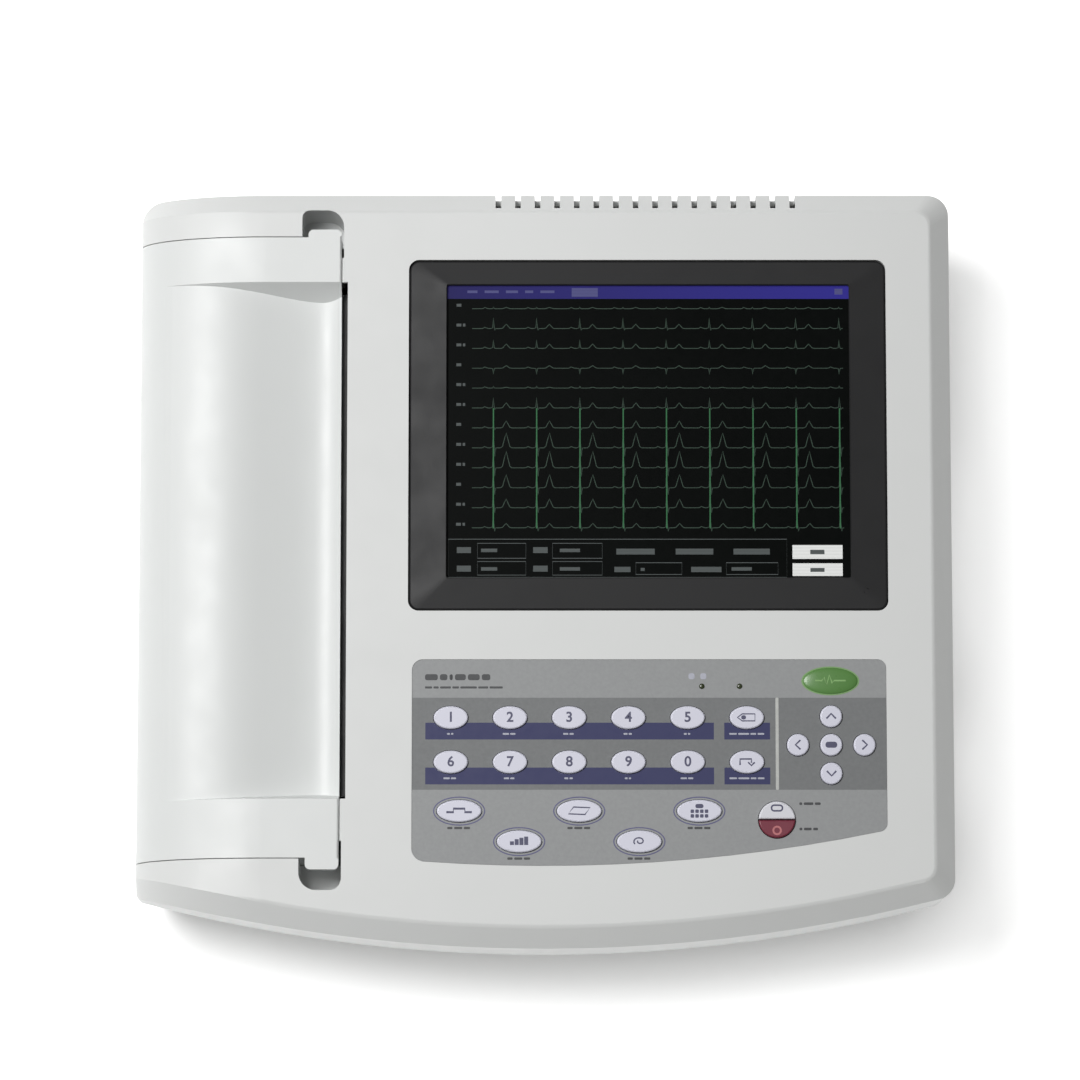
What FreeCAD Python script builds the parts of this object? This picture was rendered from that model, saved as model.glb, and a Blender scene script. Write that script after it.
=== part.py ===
"""Desktop twelve-channel electrocardiograph with a wide thermal printer.

A flat moulded case in two shells carries a colour display and a keypad on its right, and on its left
a paper bay under a door that rolls over the case's left side and hinges along its lower left edge.
The door carries the platen roller, which a stepping motor in the case turns through an idler gear.

Frame: millimetres, +Z up, +X to the operator's right, +Y to the back. The origin is the centre of the
case's footprint, on the surface that the rubber feet stand on.
"""

import FreeCAD, Part

import math
import os
import re

V = FreeCAD.Vector
doc = FreeCAD.newDocument("electrocardiograph")

# ---------------------------------------------------------------- driving dimensions

DIMENSIONS = {
    # case
    "case_width": 348.0,
    "case_depth": 326.0,
    "case_height": 85.0,
    "foot_height": 3.0,
    "parting_height": 40.0,
    "wall": 2.5,
    "bevel_width": 8.5,
    "bevel_drop": 7.0,
    "side_draft": 1.6,
    "base_inset": 9.0,
    "parting_inset": 1.8,
    "front_radius": 675.0,
    "corner_radius": 9.0,
    "top_corner_radius": 6.5,
    "roll_over_width": 54.0,
    "roll_over_drop": 25.0,
    # paper door and slot
    "door_edge": -87.0,
    "door_front": -125.5,
    "door_back": 143.5,
    "seam": 0.4,
    "seam_bevel": 0.7,
    "slot_front": -100.0,
    "slot_back": 123.5,
    "slot_width": 2.8,
    "scoop_back_slope": 0.68,
    "scoop_front_slope": 0.28,
    "door_skin": 2.3,
    "hinge_x": -171.0,
    "hinge_z": 43.5,
    "barrel_radius": 3.0,
    "pin_radius": 1.5,
    "running_gap": 0.05,
    "notch_x": -94.9,
    "notch_radius": 9.0,
    "notch_floor": 60.0,
    # printer
    "paper_width": 216.0,
    "roll_radius": 28.0,
    "roll_x": -131.0,
    "roll_z": 37.0,
    "core_radius": 7.5,
    "platen_x": -96.0,
    "platen_z": 61.0,
    "platen_radius": 8.0,
    "shaft_radius": 3.0,
    "bush_radius": 4.5,
    "bearing_length": 3.0,
    "gear_module": 1.0,
    "gear_face": 5.0,
    "gear_y": 130.5,
    "plate_y": 127.3,
    "sheet_metal": 1.5,
    "motor_size": 35.2,
    "motor_length": 34.0,
    # display
    "bezel_x": 44.2,
    "bezel_y": 56.9,
    "bezel_length": 203.4,
    "bezel_depth": 151.6,
    "bezel_floor": 80.6,
    "bezel_edge": 84.4,
    "bezel_crest": 85.6,
    "bezel_gap": 0.5,
    "window_x": 44.5,
    "window_y": 58.5,
    "window_length": 172.1,
    "window_depth": 127.2,
    "glass_thickness": 3.0,
    "glass_margin": 3.0,
    # keypad
    "keypad_left": -56.0,
    "keypad_right": 145.0,
    "keypad_back": -40.5,
    "keypad_front": -128.5,
    "keypad_front_radius": 700.0,
    "overlay_recess": 0.7,
    "overlay_thickness": 0.5,
    "key_top": 85.9,
    "dome_height": 0.8,
    "key_travel": 1.0,
    "key_gap": 0.3,
    "digit_x": -39.6,
    "digit_pitch": 25.1,
    "digit_row_back": -65.4,
    "digit_row_front": -84.4,
    "digit_length": 14.6,
    "digit_depth": 9.8,
    "navigation_x": 121.6,
    "navigation_y": -77.1,
    "navigation_step_x": 14.1,
    "navigation_step_y": 12.2,
    "navigation_size": 9.4,
    "function_x": -36.0,
    "function_pitch": 25.4,
    "function_row_back": -105.3,
    "function_row_front": -118.3,
    "function_length": 19.0,
    "function_depth": 9.5,
    "power_x": 98.4,
    "power_y": -109.0,
    "power_radius": 7.8,
    "lamp_x": 66.9,
    "lamp_pitch": 16.0,
    "lamp_y": -51.9,
    "lamp_radius": 0.9,
    # ventilation
    "vent_x": -19.7,
    "vent_pitch": 8.43,
    "vent_count": 16,
    "vent_width": 2.4,
    # boards and power
    "board_thickness": 1.6,
    "main_board_z": 14.0,
    "key_board_z": 76.8,
    "axle_radius": 1.2,
    "foot_radius": 9.0,
    "cover_thickness": 1.4,
}

sheet = doc.addObject("Spreadsheet::Sheet", "Sizes")
for row, (alias, number) in enumerate(DIMENSIONS.items(), start=1):
    sheet.set(f"A{row}", alias)
    sheet.set(f"B{row}", str(number))
    sheet.setAlias(f"B{row}", alias)
doc.recompute()


class SheetValues:
    """Reads a driving dimension from the sheet by its alias."""

    def __getattr__(self, alias):
        return float(sheet.get(alias))


size = SheetValues()
ALIAS = re.compile(r"\b(" + "|".join(DIMENSIONS) + r")\b")
parts = {}

# ---------------------------------------------------------------- document helpers


def formula(value):
    """A number, or a text in which every alias becomes a reference to its cell."""
    return ALIAS.sub(r"Sizes.\1", str(value))


def bind(thing, **values):
    for name, value in values.items():
        thing.setExpression(name, formula(value))
    return thing


def place(thing, x=0, y=0, z=0):
    for axis, value in zip("xyz", (x, y, z)):
        thing.setExpression(f"Placement.Base.{axis}", formula(value))
    return thing


def box(name, x, y, z, length, width, height):
    """A block from its lowest corner; every value is a number or a formula of the sheet."""
    solid = doc.addObject("Part::Box", name)
    bind(solid, Length=length, Width=width, Height=height)
    return place(solid, x, y, z)


def rod(name, radius, length, x, y, z, axis="z"):
    """A cylinder that starts at x, y, z and runs along +x, +y or +z."""
    solid = doc.addObject("Part::Cylinder", name)
    turn = {"x": (V(0, 1, 0), 90), "y": (V(1, 0, 0), -90), "z": (V(0, 0, 1), 0)}[axis]
    solid.Placement = FreeCAD.Placement(V(0, 0, 0), FreeCAD.Rotation(*turn))
    bind(solid, Radius=radius, Height=length)
    return place(solid, x, y, z)


def fuse(name, *shapes):
    joined = doc.addObject("Part::MultiFuse", name)
    joined.Shapes = list(shapes)
    joined.Refine = True
    return joined


def common(name, first, second):
    shared = doc.addObject("Part::Common", name)
    shared.Base, shared.Tool = first, second
    shared.Refine = True
    return shared


def cut(name, base, *tools):
    result = doc.addObject("Part::Cut", name)
    result.Base = base
    result.Tool = tools[0] if len(tools) == 1 else group(name + "_tools", *tools)
    result.Refine = True
    return result


def group(name, *shapes):
    """Several separate solids as one object."""
    together = doc.addObject("Part::Compound", name)
    together.Links = list(shapes)
    return together


def round_edges(name, base, radius, chosen):
    """Rounds the edges of base that the test `chosen` accepts."""
    doc.recompute()
    rounded = doc.addObject("Part::Fillet", name)
    rounded.Base = base
    numbers = [n for n, edge in enumerate(base.Shape.Edges, start=1) if chosen(edge)]
    rounded.Edges = [(n, radius, radius) for n in numbers]
    return rounded


def part(label, thing):
    """Names a finished sub-part; the label is the name of its file."""
    thing.Label = label
    parts[label] = thing
    return thing


# ---------------------------------------------------------------- sketches and bodies


def arc_about(centre, start, end):
    middle = ((start - centre) + (end - centre)).normalize() * (start - centre).Length
    return Part.Arc(start, centre + middle, end)


def polygon(*points):
    corners = [V(x, y, 0) for x, y in points]
    return [Part.LineSegment(a, b) for a, b in zip(corners, corners[1:] + corners[:1])]


def rounded_rectangle(left, front, right, back, radius):
    """Outline with four equal round corners."""
    curves = []
    corners = [(left, front, 1, 1), (right, front, -1, 1), (right, back, -1, -1), (left, back, 1, -1)]
    ends = []
    for x, y, inward_x, inward_y in corners:
        along_x = V(x + inward_x * radius, y, 0)
        along_y = V(x, y + inward_y * radius, 0)
        ends.append((along_x, along_y, V(x + inward_x * radius, y + inward_y * radius, 0)))
    # Going round anticlockwise, every second corner is entered along the other axis.
    order = [(b, a) if n % 2 == 0 else (a, b) for n, (a, b, centre) in enumerate(ends)]
    for n, (start, end) in enumerate(order):
        curves.append(arc_about(ends[n][2], start, end))
        curves.append(Part.LineSegment(end, order[(n + 1) % 4][0]))
    return curves


def block_outline(x, y, length, depth, radius, grow=0.0):
    """A rounded rectangle about its centre, grown outwards by grow on every side."""
    half_length, half_depth = length / 2 + grow, depth / 2 + grow
    return rounded_rectangle(x - half_length, y - half_depth, x + half_length, y + half_depth, radius)


def arc_fronted(left, right, back, front, bow, radii):
    """Outline with straight left, back and right sides and a front that bows forward with radius bow.

    front is the foremost point, at x = 0. radii are those of the back left, back right, front right
    and front left corners.
    """
    back_left, back_right, front_right, front_left = radii
    centre = V(0, front + bow, 0)

    def front_corner(side, radius, inward):
        middle = V(side + inward * radius, 0, 0)
        middle.y = centre.y - math.sqrt((bow - radius) ** 2 - middle.x**2)
        on_side = V(side, middle.y, 0)
        on_bow = centre + (middle - centre) * (bow / (bow - radius))
        return on_side, on_bow, middle

    right_side, right_bow, right_middle = front_corner(right, front_right, -1)
    left_side, left_bow, left_middle = front_corner(left, front_left, 1)
    a, b = V(left + back_left, back, 0), V(right - back_right, back, 0)
    c, d = V(right, back - back_right, 0), V(left, back - back_left, 0)
    return [
        Part.LineSegment(a, b),
        arc_about(V(b.x, c.y, 0), b, c),
        Part.LineSegment(c, right_side),
        arc_about(right_middle, right_side, right_bow),
        arc_about(centre, right_bow, left_bow),
        arc_about(left_middle, left_bow, left_side),
        Part.LineSegment(left_side, d),
        arc_about(V(a.x, d.y, 0), d, a),
    ]


def sketch(body, curves, plane="XY_Plane", offset=0):
    """A sketch on one of the body's own origin planes, moved along the plane's normal by offset."""
    drawing = body.newObject("Sketcher::SketchObject", body.Name + "_sketch")
    support = next(f for f in body.Origin.OriginFeatures if f.Role == plane)
    drawing.AttachmentSupport = [(support, "")]
    drawing.MapMode = "FlatFace"
    drawing.setExpression("AttachmentOffset.Base.z", formula(offset))
    drawing.addGeometry(curves, False)
    return drawing


def pad(body, curves, length, plane="XY_Plane", offset=0, kind="Pad"):
    feature = body.newObject("PartDesign::" + kind, body.Name + "_" + kind.lower())
    feature.Profile = sketch(body, curves, plane, offset)
    return bind(feature, Length=length)


def dress(body, kind, amount, chosen):
    """Rounds or chamfers the edges of the body's last feature that the test `chosen` accepts."""
    doc.recompute()
    last = body.Tip
    edges = [f"Edge{k}" for k, edge in enumerate(last.Shape.Edges, start=1) if chosen(edge)]
    feature = body.newObject("PartDesign::" + kind, f"{body.Name}_{kind.lower()}")
    feature.Base = (last, edges)
    if kind == "Fillet":
        feature.Radius = amount
    else:
        feature.Size = amount
    body.Tip = feature
    return feature


def prism(name, curves, bottom, height):
    """An upright prism as a body: one sketch and one pad."""
    body = doc.addObject("PartDesign::Body", name)
    pad(body, curves, height, offset=bottom)
    return body


def side_prism(name, curves, back, length):
    """A prism of an X-Z outline that runs from y = back towards the front by length."""
    body = doc.addObject("PartDesign::Body", name)
    pad(body, curves, length, "XZ_Plane", f"-({back})")
    return body


def loft(name, sections):
    """A ruled loft through (outline, height) sections."""
    body = doc.addObject("PartDesign::Body", name)
    drawings = [sketch(body, curves, offset=height) for curves, height in sections]
    feature = body.newObject("PartDesign::AdditiveLoft", name + "_loft")
    feature.Profile = drawings[0]
    feature.Sections = drawings[1:]
    feature.Ruled = True
    return body


def ellipse(x, y, length, depth):
    return [Part.Ellipse(V(x, y, 0), length / 2, depth / 2)]


def circle(x, y, radius):
    return [Part.Circle(V(x, y, 0), V(0, 0, 1), radius)]


# ---------------------------------------------------------------- the case's outside and inside forms

HALF_WIDTH = size.case_width / 2
HALF_DEPTH = size.case_depth / 2
TOP = size.case_height
BEVEL_FOOT = TOP - size.bevel_drop


def case_outline(inset, left_inset, corner):
    """The case's plan outline, moved in by inset, with its straight left side moved in by left_inset."""
    return arc_fronted(
        -HALF_WIDTH + left_inset,
        HALF_WIDTH - inset,
        HALF_DEPTH - inset,
        -HALF_DEPTH + inset,
        size.front_radius - inset,
        (corner, corner, corner, 3.0),
    )


def shoulder_outline(inset):
    """X-Z outline of all that lies under the rounded left shoulder, which is a quarter ellipse."""
    left, top = -HALF_WIDTH + inset, TOP - inset
    centre_x, centre_z = -HALF_WIDTH + size.roll_over_width, TOP - size.roll_over_drop
    form = Part.Ellipse(V(centre_x, centre_z, 0), centre_x - left, top - centre_z)
    corners = [V(left, centre_z, 0), V(left, 0, 0), V(HALF_WIDTH + 10, 0, 0), V(HALF_WIDTH + 10, top, 0)]
    corners.append(V(centre_x, top, 0))
    lines = [Part.LineSegment(a, b) for a, b in zip(corners, corners[1:])]
    return [Part.ArcOfEllipse(form, math.pi / 2, math.pi)] + lines


def upper_form(name, inset):
    """The upper shell's outside (inset 0) or inside form: drafted sides, a bevel and the rolled shoulder."""
    under = 1.0 if inset else 0.0
    foot = case_outline(size.side_draft + inset, inset, size.corner_radius - inset)
    sections = [
        (foot, f"parting_height - {under}"),
        (case_outline(inset, inset, size.corner_radius - inset), f"case_height - bevel_drop - {inset / 2}"),
        (
            case_outline(size.bevel_width + inset / 2, inset, size.top_corner_radius - inset / 2),
            f"case_height - {inset}",
        ),
    ]
    shoulder = side_prism(name + "_shoulder", shoulder_outline(inset), "case_depth/2 + 10", "case_depth + 20")
    return common(name, loft(name + "_block", sections), shoulder)


def left_bevel(name, side, inset, reach, drop):
    """What lies above the bevel where it follows the rolled shoulder down to the left corner.

    side is 1 at the back and -1 at the front. The bevel falls by drop from reach inside the edge of the plan
    to the edge, and inset moves the shoulder inwards.
    """
    bow, beyond = size.front_radius, 2.0
    start = side * (HALF_DEPTH + beyond)
    slope = drop / reach
    centre_x, centre_z = -HALF_WIDTH + size.roll_over_width, TOP - size.roll_over_drop
    points = []
    for n in range(13):
        angle = math.radians(90 + 7.5 * n)
        x = centre_x + (size.roll_over_width - inset) * math.cos(angle)
        z = centre_z + (size.roll_over_drop - inset) * math.sin(angle)
        arch = bow - math.sqrt((bow - reach) ** 2 - x * x) if side < 0 else reach
        points.append(V(x, z - slope * (beyond + arch), 0))
    shoulder = Part.BSplineCurve()
    shoulder.interpolate(points)
    first, last = points[0], points[-1]
    left, high = last.x - 5, TOP + 12
    around = [last, V(left, last.y, 0), V(left, high, 0), V(first.x, high, 0), first]
    outline = doc.addObject("Sketcher::SketchObject", name + "_outline")
    outline.addGeometry([shoulder] + [Part.LineSegment(a, b) for a, b in zip(around, around[1:])], False)
    outline.Placement = FreeCAD.Placement(V(0, start, 0), FreeCAD.Rotation(V(1, 0, 0), 90))
    waste = doc.addObject("Part::Extrusion", name)
    waste.Base = outline
    waste.DirMode = "Custom"
    waste.Dir = V(0, -side, slope)
    waste.LengthFwd = 50.0
    waste.Solid = True
    return waste


def bevelled_shoulder(name, form, inset, reach, drop):
    """The form with its back and front bevels carried on along the shoulder."""
    back = cut(name + "AtBack", form, left_bevel(name + "BackTool", 1, inset, reach, drop))
    return cut(name, back, left_bevel(name + "FrontTool", -1, inset, reach, drop))


def at_height(z, reach_left):
    """Accepts edges that lie in the plane at height z, right of reach_left."""

    def test(edge):
        flat = all(abs(v.Z - z) < 1e-4 for v in edge.Vertexes)
        long_way = edge.BoundBox.ZLength < 1e-4
        across = edge.BoundBox.XLength < 1e-3 and edge.BoundBox.XMax < HALF_WIDTH - 30
        return flat and long_way and not across and edge.BoundBox.XMin > reach_left

    return test


outer_form = upper_form("OuterForm", 0)
BEVEL_ROOM = [(-160, 60.0), (-146, 69.5), (-120, 74.5)]
INNER_REACH = size.bevel_width + size.wall / 2
INNER_DROP = INNER_REACH * (size.bevel_drop - size.wall / 2) / (size.bevel_width - size.wall / 2)


def bevel_room(name, left, high):
    """What the inside form gives up under the back bevel of the shoulder: a roof in three steps."""
    corners, x = [(left, high)], left
    for step_end, roof in BEVEL_ROOM:
        corners += [(x, roof), (step_end, roof)]
        x = step_end
    return side_prism(name, polygon(*corners, (x, high)), HALF_DEPTH + 5, 15.2)


inner_front = left_bevel("InnerFrontTool", -1, size.wall, INNER_REACH, INNER_DROP)
inner_form = cut("InnerStepped", upper_form("InnerStock", size.wall), bevel_room("BevelRoom", -180, TOP + 10))
inner_form = cut("InnerForm", inner_form, inner_front)
rounded_form = round_edges("RoundedForm", outer_form, 2.5, at_height(TOP, -HALF_WIDTH + 20))
soft_form = bevelled_shoulder("SoftForm", rounded_form, 0.0, size.bevel_width, size.bevel_drop)

# ---------------------------------------------------------------- keypad layout


def key_layout():
    """Every key: name, outline kind, centre, length and depth."""
    keys = []
    for n in range(10):
        x = size.digit_x + size.digit_pitch * (n % 5)
        y = size.digit_row_back if n < 5 else size.digit_row_front
        keys.append((f"key_{(n + 1) % 10}", "oval", x, y, size.digit_length, size.digit_depth))
    x = size.digit_x + size.digit_pitch * 5
    keys.append(("key_delete", "oval", x, size.digit_row_back, size.digit_length, size.digit_depth))
    keys.append(("key_shift", "oval", x, size.digit_row_front, size.digit_length, size.digit_depth))
    steps = {
        "key_ok": (0, 0),
        "key_up": (0, 1),
        "key_down": (0, -1),
        "key_left": (-1, 0),
        "key_right": (1, 0),
    }
    for name, (dx, dy) in steps.items():
        x = size.navigation_x + dx * size.navigation_step_x
        y = size.navigation_y + dy * size.navigation_step_y
        keys.append((name, "oval", x, y, size.navigation_size, size.navigation_size - 0.01))
    names = ["key_calibrate", "key_gain", "key_feed", "key_patient", "key_print"]
    for n, name in enumerate(names):
        x = size.function_x + size.function_pitch * n
        y = size.function_row_front if n % 2 else size.function_row_back
        keys.append((name, "oval", x, y, size.function_length, size.function_depth))
    across = 2 * size.power_radius
    keys.append(("key_power_on", "half_back", size.power_x, size.power_y, across, across))
    keys.append(("key_power_off", "half_front", size.power_x, size.power_y, across, across))
    return keys


def key_outline(kind, x, y, length, depth, grow):
    if kind == "oval":
        return ellipse(x, y, length + 2 * grow, depth + 2 * grow)
    side = 1 if kind == "half_back" else -1
    radius, level = length / 2 + grow, side * 0.25
    reach = math.sqrt(radius**2 - level**2)
    start, end = V(x - reach, y + level, 0), V(x + reach, y + level, 0)
    return [Part.Arc(start, V(x, y + side * radius, 0), end), Part.LineSegment(end, start)]


def keypad_outline(inset):
    return arc_fronted(
        size.keypad_left + inset,
        size.keypad_right - inset,
        size.keypad_back - inset,
        size.keypad_front + inset,
        size.keypad_front_radius - inset,
        (4.5 - inset, 3.5 - inset, 3.5 - inset, 5.5 - inset),
    )


KEYS = key_layout()
LAMPS = [size.lamp_x, size.lamp_x + size.lamp_pitch]


def keypad_holes(name, bottom, height):
    """Tools for every key's opening and the two lamps, through a wall from bottom upwards."""
    tools = []
    for key, kind, x, y, length, depth in KEYS:
        if kind == "oval":
            outline = key_outline(kind, x, y, length, depth, size.key_gap)
            tools.append(prism(f"{name}_{key}", outline, bottom, height))
    outline = circle(size.power_x, size.power_y, size.power_radius + size.key_gap)
    tools.append(prism(name + "_power", outline, bottom, height))
    for n, x in enumerate(LAMPS):
        tools.append(rod(f"{name}_lamp_{n}", "lamp_radius + 0.3", height, x, "lamp_y", bottom))
    return tools


# ---------------------------------------------------------------- upper case

SCREWS = [(-150, 148), (40, 147), (156.5, 78), (156.5, -105), (40, -146), (-150, -130.5)]
KEY_BOARD_POSTS = [(-48, -48), (-48, -118), (136, -48), (136, -104)]
DISPLAY_POSTS = [(-53.5, 139.5), (141.5, 139.5), (-53.5, -26), (141.5, -26)]
BEZEL = (size.bezel_x, size.bezel_y, size.bezel_length, size.bezel_depth)
WINDOW = (size.window_x, size.window_y, size.window_length, size.window_depth)


def notch_outline(y_end, side, left_radius, right_radius):
    """A finger notch in plan: straight sides from the door's seam and a blind end with two round corners."""
    x, half = size.notch_x, size.notch_radius
    start = y_end - side * (half + 12)
    a, b = V(x - half, start, 0), V(x - half, y_end - side * left_radius, 0)
    c, d = V(x - half + left_radius, y_end, 0), V(x + half - right_radius, y_end, 0)
    e, f = V(x + half, y_end - side * right_radius, 0), V(x + half, start, 0)
    return [
        Part.LineSegment(a, b),
        arc_about(V(c.x, b.y, 0), b, c),
        Part.LineSegment(c, d),
        arc_about(V(d.x, e.y, 0), d, e),
        Part.LineSegment(e, f),
        Part.LineSegment(f, a),
    ]


NOTCH_BACK = size.door_back + 11.6
NOTCH_FRONT = size.door_front - 13.4
ABOVE = 40.0


def seam_groove(name):
    """A shallow V along the door's free edge, half in the door and half in the case."""
    left, right, wide = size.door_edge, size.door_edge + size.seam, size.seam_bevel
    outline = polygon(
        (left - wide, TOP + 1),
        (left - wide, TOP),
        (left, TOP - wide),
        (right, TOP - wide),
        (right + wide, TOP),
        (right + wide, TOP + 1),
    )
    return side_prism(name, outline, "door_back", "door_back - door_front")


def upper_case():
    shell = cut("UpperShell", soft_form, inner_form)
    bay_length = f"door_edge + seam + {HALF_WIDTH}"
    tall = "case_height - parting_height"
    cup_floor, cup_height = "notch_floor - wall", "case_height - 1 - notch_floor + wall"
    board_top = "key_board_z + board_thickness"
    inside = [
        box("BayWallBack", -HALF_WIDTH, "door_back", "parting_height", bay_length, 2, tall),
        box("BayWallFront", -HALF_WIDTH, "door_front - 2", "parting_height", bay_length, 2, tall),
        box("SlotSkirt", "door_edge + slot_width", "door_front", 75, 2, "door_back - door_front", 9),
        box("NotchCupBack", "notch_x - 11.6", "door_back", cup_floor, 23, 14, cup_height),
        box("NotchCupFront", "notch_x - 11.6", "door_front - 16", cup_floor, 23, 16, cup_height),
        box("HingeBlockBack", -HALF_WIDTH, "door_back", "parting_height", 7, 8, 8),
        box("HingeBlockFront", -HALF_WIDTH, "door_front - 8", "parting_height", 7, 8, 8),
    ]
    for n, (x, y) in enumerate(SCREWS):
        inside.append(rod(f"UpperBoss{n}", 4.2, tall, x, y, "parting_height"))
    for n, (x, y) in enumerate(KEY_BOARD_POSTS):
        inside.append(rod(f"KeyPost{n}", 2.5, f"84 - ({board_top})", x, y, board_top))
    for n, (x, y) in enumerate(DISPLAY_POSTS):
        inside.append(rod(f"DisplayPost{n}", 3, 14, x, y, 70))
    stout = fuse("UpperCaseStock", shell, common("UpperInside", fuse("UpperRibs", *inside), soft_form))
    opening = block_outline(*BEZEL, 4.5, size.bezel_gap)
    door_length, slot_length = "door_back - door_front", "slot_back - slot_front"
    tools = [
        box("DoorOpening", -HALF_WIDTH - 10, "door_front", 30, f"{bay_length} + 10", door_length, 70),
        box("PaperSlot", "door_edge - 5", "slot_front", 60, "5 + slot_width", slot_length, ABOVE),
        seam_groove("CaseSeamGroove"),
        prism("NotchBackTool", notch_outline(NOTCH_BACK, 1, 3.5, 7.5), "notch_floor", ABOVE),
        prism("NotchFrontTool", notch_outline(NOTCH_FRONT, -1, 7.5, 5.0), "notch_floor", ABOVE),
        prism("BezelOpening", opening, 60, ABOVE),
        prism("OverlayRecess", keypad_outline(-0.15), "case_height - overlay_recess", 5),
    ]
    tools += keypad_holes("CaseHole", 60, ABOVE)
    tools.append(vent_slots())
    for n, (x, y) in enumerate(SCREWS):
        tools.append(rod(f"UpperPilot{n}", "pin_radius", 14, x, y, "parting_height - 1"))
    for n, y in enumerate(["door_back - 1", "door_front - 7"]):
        tools.append(rod(f"PinBore{n}", "pin_radius", 8, "hinge_x", y, "hinge_z", "y"))
    return part("upper_case", cut("UpperCase", stout, *tools))


def vent_slots():
    """A row of slots through the back bevel and down the back wall."""
    body = doc.addObject("PartDesign::Body", "VentSlots")
    left, right = size.vent_x - size.vent_width / 2, size.vent_x + size.vent_width / 2
    first, beyond = 151.5, 170.0
    pad(body, polygon((left, first), (right, first), (right, beyond), (left, beyond)), 14, offset=69.5)
    doc.recompute()
    row_of = body.newObject("PartDesign::LinearPattern", "VentRow")
    row_of.Originals = [body.Tip]
    support = next(f for f in body.Origin.OriginFeatures if f.Role == "X_Axis")
    row_of.Direction = (support, [""])
    bind(row_of, Length="vent_pitch * (vent_count - 1)", Occurrences="vent_count")
    body.Tip = row_of
    return body


# ---------------------------------------------------------------- lower case

FEET = [(-128, 112), (136, 112), (136, -106), (-128, -100)]
SIDE_POCKET = (-91.5, 61.5, 11.0, 36.0)
REAR_POCKET = (94.5, 167.5, 8.5, 37.5)
SIDE_PANEL = 162.5
REAR_PANEL = 151.0
BOARD_POSTS = [(-30, -66), (-30, 50), (138, 50), (138, -66)]
SUPPLY_POSTS = [(34, 69.5), (138, 69.5), (34, 116.5), (98, 116.5)]
BATTERY_BAY = (-23.0, -138.5, 123.0, -77.0)
SERIAL_PORTS = (32.0, -12.0)


def battery_outline(inset):
    left, front, right, back = BATTERY_BAY
    return rounded_rectangle(left + inset, front + inset, right - inset, back - inset, 2.5)


def lower_form(name, inset):
    """The lower shell's outside or inside form: a base with a turned-up edge and flaring sides."""
    top = "parting_height" if inset == 0 else "parting_height + 1"
    base, edge = size.base_inset + inset, 2.5
    sections = [
        (case_outline(base + edge, 5 + edge + inset, 6.0 - inset / 2), f"foot_height + {inset}"),
        (case_outline(base, 5 + inset, 7.0 - inset / 2), f"foot_height + {edge + inset}"),
        (case_outline(size.parting_inset + inset, size.parting_inset + inset, 8.0 - inset), top),
    ]
    return loft(name, sections)


def lower_case():
    outside = lower_form("LowerForm", 0)
    shell = cut("LowerShell", outside, lower_form("LowerInner", size.wall))
    front, back, low, high = SIDE_POCKET
    left, right, rear_low, rear_high = REAR_POCKET
    side_size = (20, f"{back - front} + 2 * wall", f"{high - low} + 2 * wall")
    rear_size = (f"{right - left} + 2 * wall", 20, f"{rear_high - rear_low} + 2 * wall")
    blocks = [
        box("SidePocketBlock", f"{SIDE_PANEL} - wall", f"{front} - wall", f"{low} - wall", *side_size),
        box("RearPocketBlock", f"{left} - wall", f"{REAR_PANEL} - wall", f"{rear_low} - wall", *rear_size),
    ]
    for n, (x, y) in enumerate(SCREWS):
        blocks.append(rod(f"LowerBoss{n}", 4.6, "parting_height - foot_height - 0.2", x, y, "foot_height"))
    for n, (x, y) in enumerate(BOARD_POSTS):
        blocks.append(rod(f"BoardPost{n}", 3.5, "main_board_z - foot_height", x, y, "foot_height"))
    for n, (x, y) in enumerate(SUPPLY_POSTS):
        blocks.append(rod(f"SupplyPost{n}", 3, "9 - foot_height", x, y, "foot_height"))
    bay_left, bay_front, bay_right, bay_back = BATTERY_BAY
    bay_depth = bay_back - bay_front
    blocks.append(box("BatteryWall", bay_left - 4, bay_front, "foot_height", 2, bay_depth, 22))
    blocks.append(box("BatteryEndWall", bay_right + 2, bay_front + 6, "foot_height", 2, bay_depth - 6, 22))
    stock = fuse("LowerStock", shell, common("LowerInside", fuse("LowerRibs", *blocks), outside))
    tools = [
        box("SidePocket", SIDE_PANEL, front, low, 30, back - front, high - low),
        box("RearPocket", left, REAR_PANEL, rear_low, right - left, 30, rear_high - rear_low),
        box("PatientCutout", 155, -54.2, 17.0, 12, 28.4, 11.4),
        box("NetworkCutout", 155, 9.6, 15.0, 12, 17.0, 14.7),
        *[box(f"SerialBusCutout{n}", 155, y - 0.4, 15.0, 12, 15.3, 8.2) for n, y in enumerate(SERIAL_PORTS)],
        box("InletCutout", 101.8, 145, 11.3, 46.6, 10, 23.6),
        rod("StudHole", 3.3, 12, 158, 143, 23, "y"),
        prism("BatteryCoverRecess", rounded_rectangle(*BATTERY_BAY, 3.0), 0, "foot_height + cover_thickness"),
        prism("BatteryOpening", battery_outline(2.4), 0, 8),
    ]
    for n, (x, y) in enumerate(SCREWS):
        tools.append(rod(f"Counterbore{n}", 3.2, 30, x, y, 0))
        tools.append(rod(f"ScrewHole{n}", 1.7, 20, x, y, 25))
    return part("lower_case", cut("LowerCase", stock, *tools))


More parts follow.
